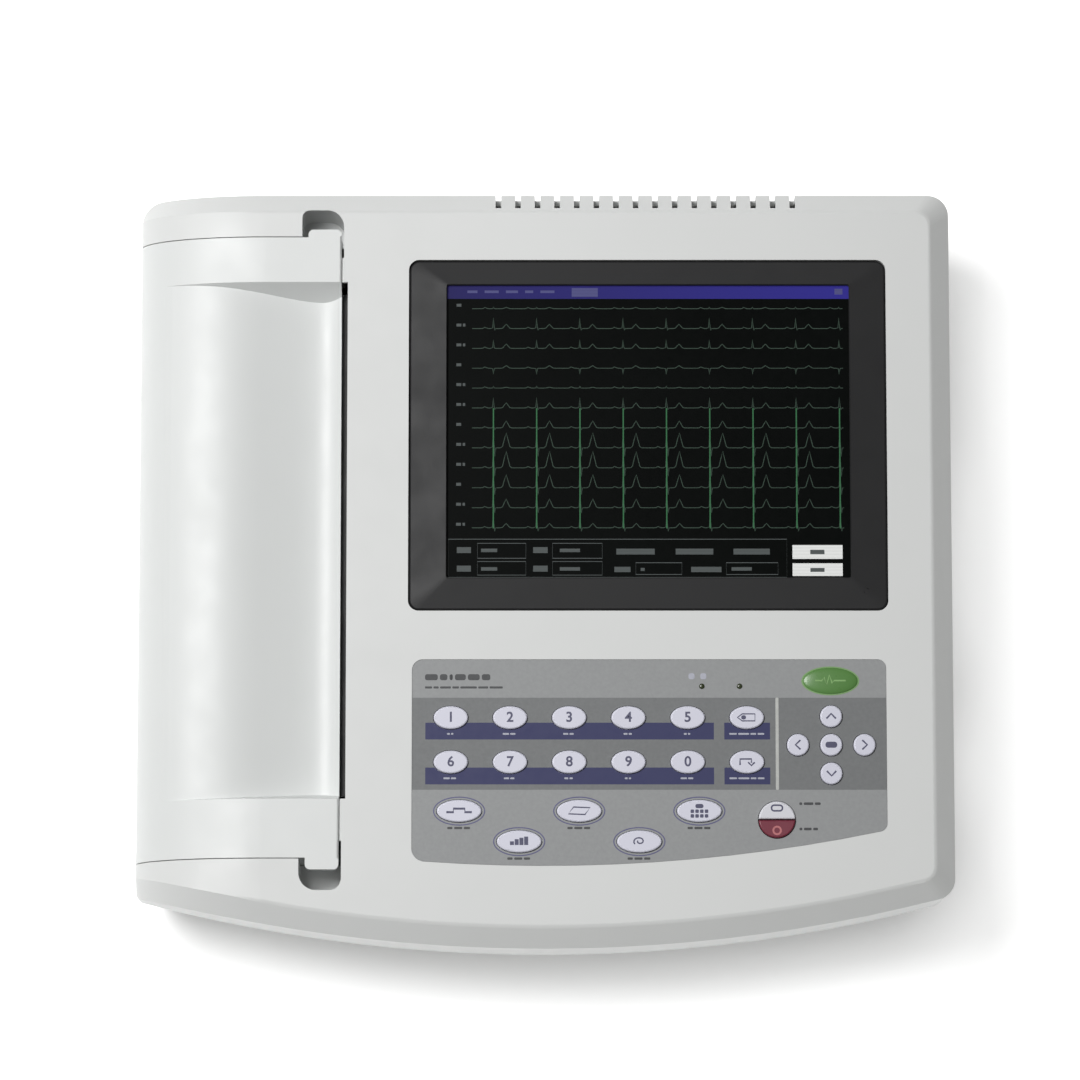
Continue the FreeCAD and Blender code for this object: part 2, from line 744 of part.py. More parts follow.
def feet_and_screws():
    feet = []
    for n, (x, y) in enumerate(FEET):
        foot = doc.addObject("PartDesign::Body", f"Foot{n}")
        pad(foot, circle(0, 0, size.foot_radius), "foot_height")
        dress(foot, "Chamfer", 0.8, lambda e: e.BoundBox.ZMax < 0.1)
        feet.append(place(foot, x, y, 0))
    part("rubber_feet", group("Feet", *feet))
    screws = []
    for n, (x, y) in enumerate(SCREWS):
        head = rod(f"ScrewHead{n}", 2.8, 2.2, x, y, 27.8)
        shank = rod(f"ScrewShank{n}", "pin_radius", 22, x, y, 30)
        drive = box(f"ScrewDrive{n}", x - 0.4, y - 1.8, 27.5, 0.8, 3.6, 1.3)
        cross = box(f"ScrewCross{n}", x - 1.8, y - 0.4, 27.5, 3.6, 0.8, 1.3)
        screws.append(cut(f"Screw{n}", fuse(f"ScrewBlank{n}", head, shank), drive, cross))
    part("case_screws", group("Screws", *screws))


# ---------------------------------------------------------------- paper door

BEARING_Y = ["slot_front - 3.2", "slot_back - 0.3"]
SCOOP_FLOOR = [
    (-160, 76.6),
    (-150, 79.9),
    (-137, 81.4),
    (-122, 79.6),
    (-107, 76.2),
    (-98.5, 74.8),
    (-93.5, 74.8),
    (-90, 75.9),
    (-87.2, 77.6),
]


def scoop_end(name, edge, run):
    """Solid below a scoop's end: the shoulder's own outline, which moves by run in y as it sinks by 1."""
    outline = doc.addObject("Sketcher::SketchObject", name + "_outline")
    outline.addGeometry(shoulder_outline(0), False)
    outline.Placement = FreeCAD.Placement(V(0, edge, 0), FreeCAD.Rotation(V(1, 0, 0), 90))
    end = doc.addObject("Part::Extrusion", name)
    end.Base = outline
    end.DirMode = "Custom"
    end.Dir = V(0, run, -1)
    end.LengthFwd = 20.0
    end.Solid = True
    return end


def scoop(name, drop):
    """The hollow over which the paper runs out: a curved floor, a raised lip and two sloping ends.

    drop lowers the floor and moves the ends apart, which gives the underside of a skin of that thickness.
    """
    points = [V(x, z - drop, 0) for x, z in SCOOP_FLOOR]
    floor = Part.BSplineCurve()
    floor.interpolate(points)
    start, lip = points[0], points[-1]
    left, right, high = start.x - 14, size.door_edge + 6, TOP + 10
    around = [lip, V(right, lip.y, 0), V(right, high, 0), V(left, high, 0), V(left, start.y - 6.6, 0), start]
    curves = [floor] + [Part.LineSegment(a, b) for a, b in zip(around, around[1:])]
    back, front = size.slot_back + drop, size.slot_front - drop
    trough = side_prism(name + "_trough", curves, back, back - front)
    back_end = scoop_end(name + "_back", back, -size.scoop_back_slope)
    return cut(name, trough, back_end, scoop_end(name + "_front", front, size.scoop_front_slope))


def paper_door():
    front = "door_front + seam"
    length = "door_back - door_front - 2 * seam"
    reach = "door_edge + case_width/2 + 10"
    left = -HALF_WIDTH - 10
    region = box("DoorRegion", left, front, "hinge_z", reach, length, 60)
    blank = common("DoorBlank", soft_form, region)
    rim = 2.2
    inner_size = (f"{reach} - {rim}", f"{length} - {2 * rim}", 70)
    inner_region = box("DoorInnerRegion", left, f"{front} + {rim}", 30, *inner_size)
    cavity = common("DoorCavity", inner_form, inner_region)
    hollow = cut("DoorHollow", cavity, scoop("ScoopUnder", size.door_skin))
    skin = cut("DoorSkin", blank, scoop("Scoop", 0.0), hollow, box("DoorUnder", -168, -200, 20, 100, 400, 32))
    barrel = rod("DoorBarrel", "barrel_radius", length, "hinge_x", front, "hinge_z", "y")
    wall_foot = box("DoorWallFoot", -HALF_WIDTH, front, "hinge_z", "wall", length, 6)
    tabs = []
    tab_ends = [(size.door_back - 4, size.door_back + 3), (size.door_front - 4.6, size.door_front + 4)]
    for n, (low, high) in enumerate(tab_ends):
        outline = rounded_rectangle(size.door_edge - 14.2, low, size.door_edge, high, 2.2)
        tabs.append(prism(f"Tab{n}", outline, "case_height - 3.2", 3.2))
    ribs = []
    for n, y in enumerate(BEARING_Y):
        ribs.append(box(f"BearingRib{n}", -104, y, 54, 15.5, "bearing_length", 22))
    under_skin = cut("UnderSkin", soft_form, scoop("ScoopRibs", 0.6))
    ribs = common("RibsInDoor", group("BearingRibs", *ribs), under_skin)
    joined = fuse("DoorJoined", skin, barrel, wall_foot, *tabs, ribs)
    pin_gap = "pin_radius + running_gap"
    tools = [
        rod("BushBore", "bush_radius", 260, "platen_x", "slot_front - 10", "platen_z", "y"),
        box("FreeEdgeRelief", "door_edge - 2.6", -200, 20, 20, 400, 51),
        seam_groove("DoorSeamGroove"),
        rod("BarrelBoreFront", pin_gap, 12, "hinge_x", "door_front", "hinge_z", "y"),
        rod("BarrelBoreBack", pin_gap, 12, "hinge_x", "door_back - 12", "hinge_z", "y"),
    ]
    part("paper_door", cut("PaperDoor", joined, *tools))
    pins = [
        rod("HingePinFront", "pin_radius", 16, "hinge_x", "door_front - 6", "hinge_z", "y"),
        rod("HingePinBack", "pin_radius", 16, "hinge_x", "door_back - 10", "hinge_z", "y"),
    ]
    part("door_hinge_pins", group("HingePins", *pins))


# ---------------------------------------------------------------- platen and gear train

PLATEN_TEETH, IDLER_TEETH, PINION_TEETH = 20, 32, 12
MESH_GAP = 0.15
FLANK_ANGLE = math.radians(20)


def gear_wire(teeth, x, z, turn):
    """Involute spur gear outline in X-Z, as lines along its flanks and arcs on tips and roots.

    turn is the direction, in degrees, that the middle of one tooth points in.
    """
    pitch_radius = size.gear_module * teeth / 2
    base = pitch_radius * math.cos(FLANK_ANGLE)
    tip, root = pitch_radius + size.gear_module, pitch_radius - 1.25 * size.gear_module
    involute_at = math.tan(FLANK_ANGLE) - FLANK_ANGLE
    half_tooth = math.pi / (2 * teeth) - 0.06 / pitch_radius

    def half_angle(radius):
        if radius <= base:
            return half_tooth + involute_at
        pressure = math.acos(base / radius)
        return half_tooth + involute_at - (math.tan(pressure) - pressure)

    radii = [root] + [max(root, base) + (tip - max(root, base)) * n / 4 for n in range(5)]
    if base <= root:
        radii = radii[1:]

    def point(radius, angle):
        return V(x + radius * math.cos(angle), z + radius * math.sin(angle), 0)

    curves = []
    for n in range(teeth):
        middle = math.radians(turn) + 2 * math.pi * n / teeth
        rising = [point(r, middle - half_angle(r)) for r in radii]
        falling = [point(r, middle + half_angle(r)) for r in reversed(radii)]
        curves += [Part.LineSegment(a, b) for a, b in zip(rising, rising[1:])]
        curves.append(Part.Arc(rising[-1], point(tip, middle), falling[0]))
        curves += [Part.LineSegment(a, b) for a, b in zip(falling, falling[1:])]
        following = middle + 2 * math.pi / teeth
        root_start = falling[-1]
        root_end = point(radii[0], following - half_angle(radii[0]))
        curves.append(Part.Arc(root_start, point(radii[0], middle + math.pi / teeth), root_end))
    return curves


def polar(x, z, distance, angle):
    return x + distance * math.cos(math.radians(angle)), z + distance * math.sin(math.radians(angle))


# The idler sits where the platen gear lifts straight out of mesh as the door opens.
TO_IDLER = math.degrees(math.atan2(size.platen_z - size.hinge_z, size.platen_x - size.hinge_x)) - 90
TO_PINION = -12.0
IDLER = polar(
    size.platen_x,
    size.platen_z,
    size.gear_module * (PLATEN_TEETH + IDLER_TEETH) / 2 + MESH_GAP,
    TO_IDLER,
)
PINION = polar(*IDLER, size.gear_module * (IDLER_TEETH + PINION_TEETH) / 2 + MESH_GAP, TO_PINION)


def spur_gear(name, teeth, centre, turn):
    return side_prism(name, gear_wire(teeth, *centre, turn), "gear_y + gear_face", "gear_face")


def printer_drive():
    x, z = "platen_x", "platen_z"
    half_step_idler = 180.0 / IDLER_TEETH
    idler_turn = TO_IDLER + 180 + half_step_idler
    rubber_start, beyond = "(slot_front + slot_back - paper_width - 1)/2", "slot_front - 10"
    rubber = rod("Rubber", "platen_radius", "paper_width + 1", x, rubber_start, z, "y")
    rubber_bore = rod("RubberBore", "shaft_radius", 260, x, beyond, z, "y")
    part("platen_roller", cut("PlatenRubber", rubber, rubber_bore))
    shaft_start, shaft_end = "slot_front - 4.2", "gear_y + gear_face + 1"
    shaft = rod("PlatenRod", "shaft_radius", f"{shaft_end} - ({shaft_start})", x, shaft_start, z, "y")
    flat = box("ShaftFlat", -106, "gear_y", "platen_z + 2.4", 20, 20, 5)
    part("platen_shaft", cut("PlatenShaft", shaft, flat))
    bore = rod("PlatenGearBore", "shaft_radius", 20, x, "gear_y - 5", z, "y")
    gear_hole = cut("GearBoreFlat", bore, box("BoreFlat", -106, 100, "platen_z + 2.4", 20, 60, 5))
    gear = spur_gear("PlatenGearBlank", PLATEN_TEETH, (size.platen_x, size.platen_z), TO_IDLER)
    part("platen_gear", cut("PlatenGear", gear, gear_hole))
    bushes = []
    for n, y in enumerate(BEARING_Y):
        sleeve = rod(f"BushSleeve{n}", "bush_radius", "bearing_length", x, y, z, "y")
        hole = rod(f"BushHole{n}", "shaft_radius + running_gap", 9, x, f"{y} - 3", z, "y")
        bushes.append(cut(f"Bush{n}", sleeve, hole))
    part("platen_bushings", group("Bushes", *bushes))
    idler = spur_gear("IdlerBlank", IDLER_TEETH, IDLER, idler_turn)
    hub = rod("IdlerHub", 6, "gear_face + 1.6", IDLER[0], "gear_y - 1.2", IDLER[1], "y")
    idler_hole = rod("IdlerHole", "shaft_radius + running_gap", 20, IDLER[0], "gear_y - 6", IDLER[1], "y")
    webs = []
    for n in range(6):
        wx, wz = polar(*IDLER, 9.6, 60 * n + 10)
        webs.append(rod(f"IdlerWindow{n}", 2.3, 20, wx, "gear_y - 6", wz, "y"))
    part("idler_gear", cut("IdlerGear", fuse("IdlerSolid", idler, hub), idler_hole, *webs))
    # A tooth of the pinion points at a gap of the idler.
    tooth_step = 360.0 / IDLER_TEETH
    off = (TO_PINION - idler_turn) / tooth_step
    off -= math.floor(off)
    lead = (off - 0.5) * tooth_step * IDLER_TEETH / PINION_TEETH
    pinion = spur_gear("PinionBlank", PINION_TEETH, PINION, TO_PINION + 180 + lead)
    shaft_length = "gear_y + gear_face - plate_y + 12"
    motor_shaft = rod("MotorShaft", 2.5, shaft_length, PINION[0], "plate_y - 12", PINION[1], "y")
    part("motor_pinion", fuse("MotorPinion", pinion, motor_shaft))
    can_outline = block_outline(*PINION, size.motor_size, size.motor_size, 4.0)
    motor = side_prism("MotorCan", can_outline, "plate_y", "motor_length")
    spigot = rod("MotorSpigot", 11, "sheet_metal + 0.5", PINION[0], "plate_y", PINION[1], "y")
    well = rod("MotorWell", "2.5 + running_gap", 40, PINION[0], "plate_y - 13", PINION[1], "y")
    part("stepper_motor", cut("StepperMotor", fuse("MotorSolid", motor, spigot), well))


def print_head_unit():
    y, width = "(slot_front + slot_back - paper_width)/2 - 1", "paper_width + 2"
    face = "platen_x + platen_radius + 0.15"
    ceramic = box("Ceramic", face, y, 50.5, 1.2, width, 19)
    bead = rod("HeaterBead", 0.5, width, f"{face} + 0.4", y, "platen_z", "y")
    part("print_head", fuse("PrintHead", ceramic, bead))
    sink = box("SinkPlate", f"{face} + 1.2", y, 48.5, 3.2, width, 23)
    fins = [box(f"SinkFin{n}", f"{face} + 4.4", y, 49 + 3.2 * n, 2.2, width, 1.2) for n in (0, 1, 5, 6)]
    part("head_heat_sink", fuse("HeatSink", sink, *fins))
    springs = []
    coil_radius, wire_radius, turn_height, spring_length = 2.2, 0.32, 1.31, 6.57
    sink_back = size.platen_x + size.platen_radius + 0.15 + 4.4
    for n, at in enumerate((-70.0, 12.0, 94.0)):
        coil = Part.makeHelix(turn_height, spring_length, coil_radius)
        coil.Placement = FreeCAD.Placement(V(0, 0, 0), FreeCAD.Rotation(V(0, 1, 0), 90))
        start = coil.Edges[0].valueAt(coil.Edges[0].FirstParameter)
        tangent = coil.Edges[0].tangentAt(coil.Edges[0].FirstParameter)
        wire = Part.Wire([Part.makeCircle(wire_radius, start, tangent)])
        spring = doc.addObject("Part::Feature", f"HeadSpring{n}")
        spring.Shape = Part.Wire(coil.Edges).makePipeShell([wire], True, True)
        seat = V(sink_back + wire_radius + 0.02, at, size.platen_z)
        spring.Placement = FreeCAD.Placement(seat, FreeCAD.Rotation())
        springs.append(spring)
    part("head_springs", group("HeadSprings", *springs))


CROSS_WALL = -76.2


def printer_chassis():
    deep = "plate_y + sheet_metal - (slot_front - 5.3)"
    stud_length = "gear_y + gear_face + 1.6 - plate_y"
    pieces = [
        box("BackPlate", -98, "plate_y", 5.5, 50, "sheet_metal", 50.5),
        box("BackPlateUpper", -86, "plate_y", 50, "86 - 73", "sheet_metal", 24),
        box("FrontPlate", -98, "slot_front - 5.3", 5.5, 50, "sheet_metal", 50.5),
        box("FrontPlateUpper", -86, "slot_front - 5.3", 50, 13, "sheet_metal", 24),
        box("CrossWall", CROSS_WALL, "slot_front - 5.3", 52, "sheet_metal", deep, 22),
        box("BaseFlange", -98, "slot_front - 5.3", 5.5, 50, deep, "sheet_metal"),
        rod("IdlerStud", "shaft_radius", stud_length, IDLER[0], "plate_y", IDLER[1], "y"),
    ]
    spigot_hole = rod("SpigotHole", 11.1, 6, PINION[0], "plate_y - 1", PINION[1], "y")
    lightening = prism("BaseWindow", rounded_rectangle(-90, -70, -56, 60, 6), 5, 6)
    part("printer_chassis", cut("PrinterChassis", fuse("ChassisSolid", *pieces), spigot_hole, lightening))


def paper_supply():
    x, z = size.roll_x, size.roll_z
    outer, inner, rim = size.roll_radius + 3, size.roll_radius + 1.4, 46.0
    u_shape = [
        Part.LineSegment(V(x - inner, z, 0), V(x - inner, rim, 0)),
        Part.LineSegment(V(x - inner, rim, 0), V(x - outer, rim, 0)),
        Part.LineSegment(V(x - outer, rim, 0), V(x - outer, z, 0)),
        Part.Arc(V(x - outer, z, 0), V(x, z - outer, 0), V(x + outer, z, 0)),
        Part.LineSegment(V(x + outer, z, 0), V(x + outer, rim, 0)),
        Part.LineSegment(V(x + outer, rim, 0), V(x + inner, rim, 0)),
        Part.LineSegment(V(x + inner, rim, 0), V(x + inner, z, 0)),
        Part.Arc(V(x + inner, z, 0), V(x, z - inner, 0), V(x - inner, z, 0)),
    ]
    trough = side_prism("Trough", u_shape, "slot_back - 0.5", "slot_back - slot_front - 1")
    ends = []
    for n, y in enumerate(["slot_front - 1", "slot_back - 1"]):
        ends.append(box(f"TrayEnd{n}", x - outer, y, 5.5, 2 * outer, 1.5, rim - 5.5))
    solid = fuse("TraySolid", trough, *ends)
    slot = box("SpindleSlot", "roll_x - 3.28", "slot_front - 10", "roll_z", 6.56, 260, 40)
    seat = rod("SpindleSeat", 3.28, 260, "roll_x", "slot_front - 10", "roll_z", "y")
    part("paper_tray", cut("PaperTray", solid, slot, seat))
    y = "(slot_front + slot_back - paper_width)/2"
    paper = rod("PaperStock", "roll_radius", "paper_width", "roll_x", y, "roll_z", "y")
    bore = rod("PaperBore", "core_radius", 260, "roll_x", -120, "roll_z", "y")
    part("paper_roll", cut("PaperRoll", paper, bore))
    core = rod("SpindleTube", "core_radius", "paper_width", "roll_x", y, "roll_z", "y")
    axle = rod("SpindleAxle", 3.2, "slot_back - slot_front + 5", "roll_x", "slot_front - 2.5", "roll_z", "y")
    part("roll_spindle", fuse("RollSpindle", core, axle))


# ---------------------------------------------------------------- display


def bezel():
    """A frame that rises from its outer edge to a crest round the window and holds the glass from below."""
    bevel = 0.6
    frame = loft(
        "BezelFrame",
        [
            (block_outline(*BEZEL, 4.2), "bezel_floor"),
            (block_outline(*BEZEL, 4.2), f"bezel_edge - {bevel}"),
            (block_outline(*BEZEL, 4.2 - bevel, -bevel), "bezel_edge"),
            (block_outline(*WINDOW, 0.9, 0.1), "bezel_crest"),
        ],
    )
    flange = prism("BezelFlange", block_outline(*BEZEL, 5, 3), "bezel_floor", 1.6)
    window = prism("BezelWindow", block_outline(*WINDOW, 0.8), "bezel_floor - 2", 12)
    lead_in = loft(
        "WindowLeadIn",
        [
            (block_outline(*WINDOW, 0.8), "bezel_crest - 0.5"),
            (block_outline(*WINDOW, 1.2, 0.5), "bezel_crest + 0.1"),
        ],
    )
    seat_outline = block_outline(*WINDOW, 1.0, size.glass_margin)
    glass_seat = prism("GlassSeat", seat_outline, "bezel_floor - 1", "glass_thickness + 1")
    part("lcd_bezel", cut("LcdBezel", fuse("BezelSolid", frame, flange), window, lead_in, glass_seat))


def display():
    bezel()
    glass_outline = block_outline(*WINDOW, 1.0, size.glass_margin)
    part("touch_panel", prism("TouchPanel", glass_outline, "bezel_floor", "glass_thickness"))
    x, y, length, depth = WINDOW
    can_length, can_depth, can_bottom = length + 18, depth + 16, 70
    can_left, can_front = x - can_length / 2, y - can_depth / 2
    can_height = f"bezel_floor - {can_bottom}"
    module = box("PanelCan", can_left, can_front, can_bottom, can_length, can_depth, can_height)
    backlight = box("InverterCover", x - 60, y - 55, 68.4, 120, 12, 2)
    part("lcd_module", fuse("LcdModule", module, backlight))
    gap, metal = 0.4, 1.2
    pan_bottom = can_bottom - metal

    def about_can(name, reach, bottom, height):
        lengths = (can_length + 2 * reach, can_depth + 2 * reach, height)
        return box(name, can_left - reach, can_front - reach, bottom, *lengths)

    tray = about_can("BracketTray", gap + metal, pan_bottom, 9)
    hollow = about_can("BracketHollow", gap, can_bottom, 20)
    ears = []
    for n, (post_x, post_y) in enumerate(DISPLAY_POSTS):
        if post_y < 0:
            start, reach = post_y - 5, 19
        else:
            start, reach = 130, post_y - 125
        ears.append(box(f"Ear{n}", post_x - 5, start, pan_bottom, 10, reach, metal))
    window_back = prism("BracketWindow", rounded_rectangle(x - 64, y - 58, x + 64, y + 40, 8), 60, 12)
    part("lcd_bracket", fuse("LcdBracket", cut("BracketPan", tray, hollow, window_back), *ears))


# ---------------------------------------------------------------- keypad


def keypad():
    overlay = prism("OverlaySheet", keypad_outline(0), "case_height - overlay_recess", "overlay_thickness")
    part("keypad_overlay", cut("KeypadOverlay", overlay, *keypad_holes("OverlayHole", 80, 20)))
    board_top = "key_board_z + board_thickness"
    outline = rounded_rectangle(-52, -123.5, 141, -44, 2)
    laminate = prism("KeyBoardSheet", outline, "key_board_z", "board_thickness")
    switches = []
    for key, kind, x, y, length, depth in KEYS:
        shift = {"half_back": 3.8, "half_front": -3.8}.get(kind, 0)
        switches.append(rod(f"Dome_{key}", 2.6, "dome_height", x, y + shift, board_top))
    lamp_height = f"case_height - 0.1 - ({board_top})"
    for n, x in enumerate(LAMPS):
        switches.append(rod(f"Lamp{n}", "lamp_radius", lamp_height, x, "lamp_y", board_top))
    part("keypad_board", fuse("KeypadBoard", laminate, *switches))
    ceiling = "case_height - wall"
    foot = f"{board_top} + dome_height + key_travel + 0.1"
    flange, stem = f"{ceiling} - 0.1 - ({foot})", f"{ceiling} - 0.2"
    for key, kind, x, y, length, depth in KEYS:
        body = doc.addObject("PartDesign::Body", key)
        pad(body, key_outline(kind, x, y, length, depth, 1.3), flange, offset=foot)
        pad(body, key_outline(kind, x, y, length, depth, 0.0), f"key_top - ({stem})", offset=stem)
        dress(body, "Fillet", 0.7, lambda e: e.BoundBox.ZMin > size.key_top - 0.01)
        part(key, body)


# ---------------------------------------------------------------- electronics


def electronics():
    top = "main_board_z + board_thickness"
    board = box("MainLaminate", -38, -74, "main_board_z", 197.5, 132, "board_thickness")
    chips = [
        (-10, -20, 28, 28, 2),
        (40, 10, 22, 22, 1.8),
        (50, -40, 18, 12, 1.8),
        (95, -20, 30, 30, 9),
        (0, 30, 40, 8, 9),
        (-30, -60, 8, 34, 8),
        (85, 30, 14, 10, 6),
    ]
    fitted = [box(f"Chip{n}", x, y, top, *sizes) for n, (x, y, *sizes) in enumerate(chips)]
    cans = [rod(f"BoardCan{n}", 4, 10, x, -65, top) for n, x in enumerate((20, 32, 44, 56))]
    part("main_board", fuse("MainBoard", board, *fitted, *cans))
    supply_z = 9.0
    supply_top = supply_z + size.board_thickness
    base = box("SupplyLaminate", 30, 66, supply_z, 112, 54, "board_thickness")
    blocks = [(36, 72, 34, 30, 24), (78, 72, 20, 40, 20), (106, 74, 4, 38, 26), (118, 74, 18, 16, 14)]
    mass = [box(f"SupplyBlock{n}", x, y, supply_top, *sizes) for n, (x, y, *sizes) in enumerate(blocks)]
    caps = [rod(f"SupplyCan{n}", 8, 22, x, 109.5, supply_top) for n, x in enumerate((44, 62))]
    part("power_supply", fuse("PowerSupply", base, *mass, *caps))
    part("battery_pack", prism("BatteryPack", battery_outline(4.5), "foot_height + cover_thickness", 22.5))
    part("battery_cover", prism("BatteryCover", battery_outline(0.4), "foot_height", "cover_thickness"))
    lead = [
        box("RibbonDisplayDrop", 15, 28, 25.5, 36, 0.6, 42.8),
        box("RibbonDisplayTail", 15, 28, 67.7, 36, 30, 0.6),
        box("RibbonKeysDrop", -46, -60, 28, 26, 0.6, 48.7),
        box("RibbonKeysTail", -46, -60, 28, 26, 24, 0.6),
        box("RibbonHeadDrop", -74.4, -40, 22, 0.6, 40, 29),
        box("RibbonHeadTail", -74.4, -40, 22, 44.4, 40, 0.6),
    ]
    leads = [fuse(f"Ribbon{n}", lead[2 * n], lead[2 * n + 1]) for n in range(3)]
    part("ribbon_cables", group("Ribbons", *leads))


ROCKER_AXIS = (137.5, 149.4, 23.1)


def sockets():
    panel = SIDE_PANEL
    # patient lead socket: fifteen-way sub-miniature D, female
    plate = box("SocketPlate", panel, -59.6, 16.4, 1.0, 39.2, 12.6)
    shell_outline = polygon((-52.6, 18.5), (-27.4, 18.5), (-28.9, 26.8), (-51.1, 26.8))
    shell = doc.addObject("PartDesign::Body", "SocketShell")
    pad(shell, shell_outline, 6.8, "YZ_Plane", panel)
    rear = box("SocketRear", 150, -53.5, 17.4, 12.5, 27, 10.6)
    jacks = [rod(f"JackScrew{n}", 2.4, 5, panel + 1, y, 22.7, "x") for n, y in enumerate((-56.65, -23.35))]
    legs = box("SocketLegs", 151, -52, "main_board_z + board_thickness", 8, 24, 2.2)
    part("patient_socket", fuse("PatientSocket", plate, shell, rear, legs, *jacks))
    # network jack and two serial bus sockets
    z = size.main_board_z + size.board_thickness
    jack = box("NetworkBlock", 146, 10.1, z, 17.2, 16, 13.4)
    jack_space = box("NetworkSpace", 151, 12.2, z + 4.2, 20, 11.8, 7.2)
    jack_step = box("NetworkStep", 151, 15.1, z + 1.4, 20, 6, 4)
    ports = [cut("NetworkJack", jack, jack_space, jack_step)]
    for n, y in enumerate(SERIAL_PORTS):
        can = box(f"BusCan{n}", 148.5, y, z, 14.8, 14.5, 7.0)
        space = box(f"BusSpace{n}", 151, y + 1.0, z + 1.0, 20, 12.5, 5.0)
        tongue = box(f"BusTongue{n}", 151, y + 1.6, z + 3.5, 10.5, 11.3, 1.9)
        ports.append(fuse(f"BusSocket{n}", cut(f"BusShell{n}", can, space), tongue))
    part("data_ports", group("DataPorts", *ports))
    # mains inlet with its switch frame
    flange = box("InletFlange", 99.8, REAR_PANEL, 9.6, 50.6, 2.4, 27)
    body = box("InletBody", 102.1, 128, 11.6, 46, 23.5, 23)
    socket_outline = polygon(
        (102.4, 15.0), (126.6, 15.0), (126.6, 27.6), (123.0, 31.2), (106.0, 31.2), (102.4, 27.6)
    )
    socket_space = side_prism("InletSpace", socket_outline, 157.4, 20)
    rocker_space = box("RockerSpace", 131.2, 137, 13.1, 12.6, 20, 20)
    axis_x, axis_y, axis_z = ROCKER_AXIS
    axle_bore = rod("RockerBore", "axle_radius + running_gap", 15.4, axis_x - 7.7, axis_y, axis_z, "x")
    solid = cut("InletSolid", fuse("InletBlock", flange, body), socket_space, rocker_space, axle_bore)
    contacts = [(107.5, 21.5), (121.5, 21.5), (114.5, 25.5)]
    blades = [box(f"Blade{n}", at_x - 1, 137, at_z - 2, 2, 13, 4) for n, (at_x, at_z) in enumerate(contacts)]
    part("ac_inlet", fuse("AcInlet", solid, *blades))
    rocker()
    stud = fuse(
        "StudSolid",
        rod("StudShank", 3.2, 10, 158, 144, 23, "y"),
        rod("StudCollar", 5.5, 2.5, 158, REAR_PANEL, 23, "y"),
        rod("StudPin", 3.0, 11.2, 158, REAR_PANEL, 23, "y"),
        rod("StudNut", 5.0, 2.4, 158, 146.1, 23, "y"),
    )
    part("earth_stud", stud)


def rocker():
    """The mains switch's rocker on its cross axle, resting on its off side."""
    half, proud, waist, root, neck = 9.3, 3.9, 3.0, -1.2, -5.0
    outline = polygon(
        (root, -half), (proud, -half), (waist, 0), (proud, half), (root, half), (neck, 3), (neck, -3)
    )
    body = doc.addObject("PartDesign::Body", "Rocker")
    pad(body, outline, 12.0, "YZ_Plane", -6)
    pad(body, circle(0, 0, size.axle_radius), 15.0, "YZ_Plane", -7.5)
    body.Placement = FreeCAD.Placement(V(*ROCKER_AXIS), FreeCAD.Rotation(V(1, 0, 0), 6))
    part("rocker_switch", body)


# ---------------------------------------------------------------- build and write

upper_case()
lower_case()
feet_and_screws()
paper_door()
printer_drive()
print_head_unit()
printer_chassis()
paper_supply()
display()
keypad()
electronics()
sockets()
doc.recompute()

failed = [o.Label for o in doc.Objects if {"Invalid", "Error"} & set(o.State)]
if failed:
    raise SystemExit(f"these objects failed: {failed}")
for label, thing in parts.items():
    if thing.Shape.isNull() or not thing.Shape.isValid() or not thing.Shape.Solids:
        raise SystemExit(f"{label} has no valid solid")

os.makedirs("parts", exist_ok=True)
for label, thing in parts.items():
    thing.Shape.exportStep(f"parts/{label}.step")
print(len(parts), "sub-parts written")
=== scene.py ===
"""Looks of the desktop electrocardiograph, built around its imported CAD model."""

import math

import bmesh
import bpy
from mathutils import Matrix, Vector

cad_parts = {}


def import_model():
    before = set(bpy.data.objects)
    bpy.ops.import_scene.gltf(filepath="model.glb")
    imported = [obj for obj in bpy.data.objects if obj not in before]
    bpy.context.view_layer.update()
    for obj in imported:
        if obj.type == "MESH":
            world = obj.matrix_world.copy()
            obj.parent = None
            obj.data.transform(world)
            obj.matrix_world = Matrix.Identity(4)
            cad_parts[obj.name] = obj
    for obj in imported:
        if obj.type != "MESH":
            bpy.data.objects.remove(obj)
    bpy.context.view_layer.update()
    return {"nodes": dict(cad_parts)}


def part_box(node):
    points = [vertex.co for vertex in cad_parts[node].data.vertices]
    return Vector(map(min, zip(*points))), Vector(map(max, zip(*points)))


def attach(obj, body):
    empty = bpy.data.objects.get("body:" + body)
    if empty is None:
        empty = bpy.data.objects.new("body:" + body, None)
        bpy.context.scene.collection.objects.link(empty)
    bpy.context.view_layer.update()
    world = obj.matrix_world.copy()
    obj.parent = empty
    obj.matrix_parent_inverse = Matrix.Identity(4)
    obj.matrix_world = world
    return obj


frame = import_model()
MM = 0.001

# ---------------------------------------------------------------- places taken from the frame


def box_mm(node):
    """A CAD node's lowest and highest corners in millimetres."""
    low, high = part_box(node)
    return low / MM, high / MM


def centre_mm(node):
    low, high = box_mm(node)
    return (low + high) / 2


CASE_TOP = box_mm("upper_case")[1].z
OVERLAY_LOW, OVERLAY_HIGH = box_mm("keypad_overlay")
OVERLAY_TOP = OVERLAY_HIGH.z
KEY_TOP = box_mm("key_1")[1].z
GLASS_LOW, GLASS_HIGH = box_mm("touch_panel")
SCREEN_TOP = GLASS_HIGH.z
GLASS_MARGIN = 3.0
UNDERSIDE = box_mm("lower_case")[0].z
PRINT = 0.04

# Keypad film: a darker band behind the upper keys, two strips and a divider.
BAND_BACK, BAND_FRONT = -56.8, -96.2
STRIP_DEPTH = 7.2
STRIPS_BACK = (-67.5, -86.7)
STRIPS_X = ((-50.4, 71.9), (76.3, 95.7))
DIVIDER_X = 98.7

# ---------------------------------------------------------------- node helpers


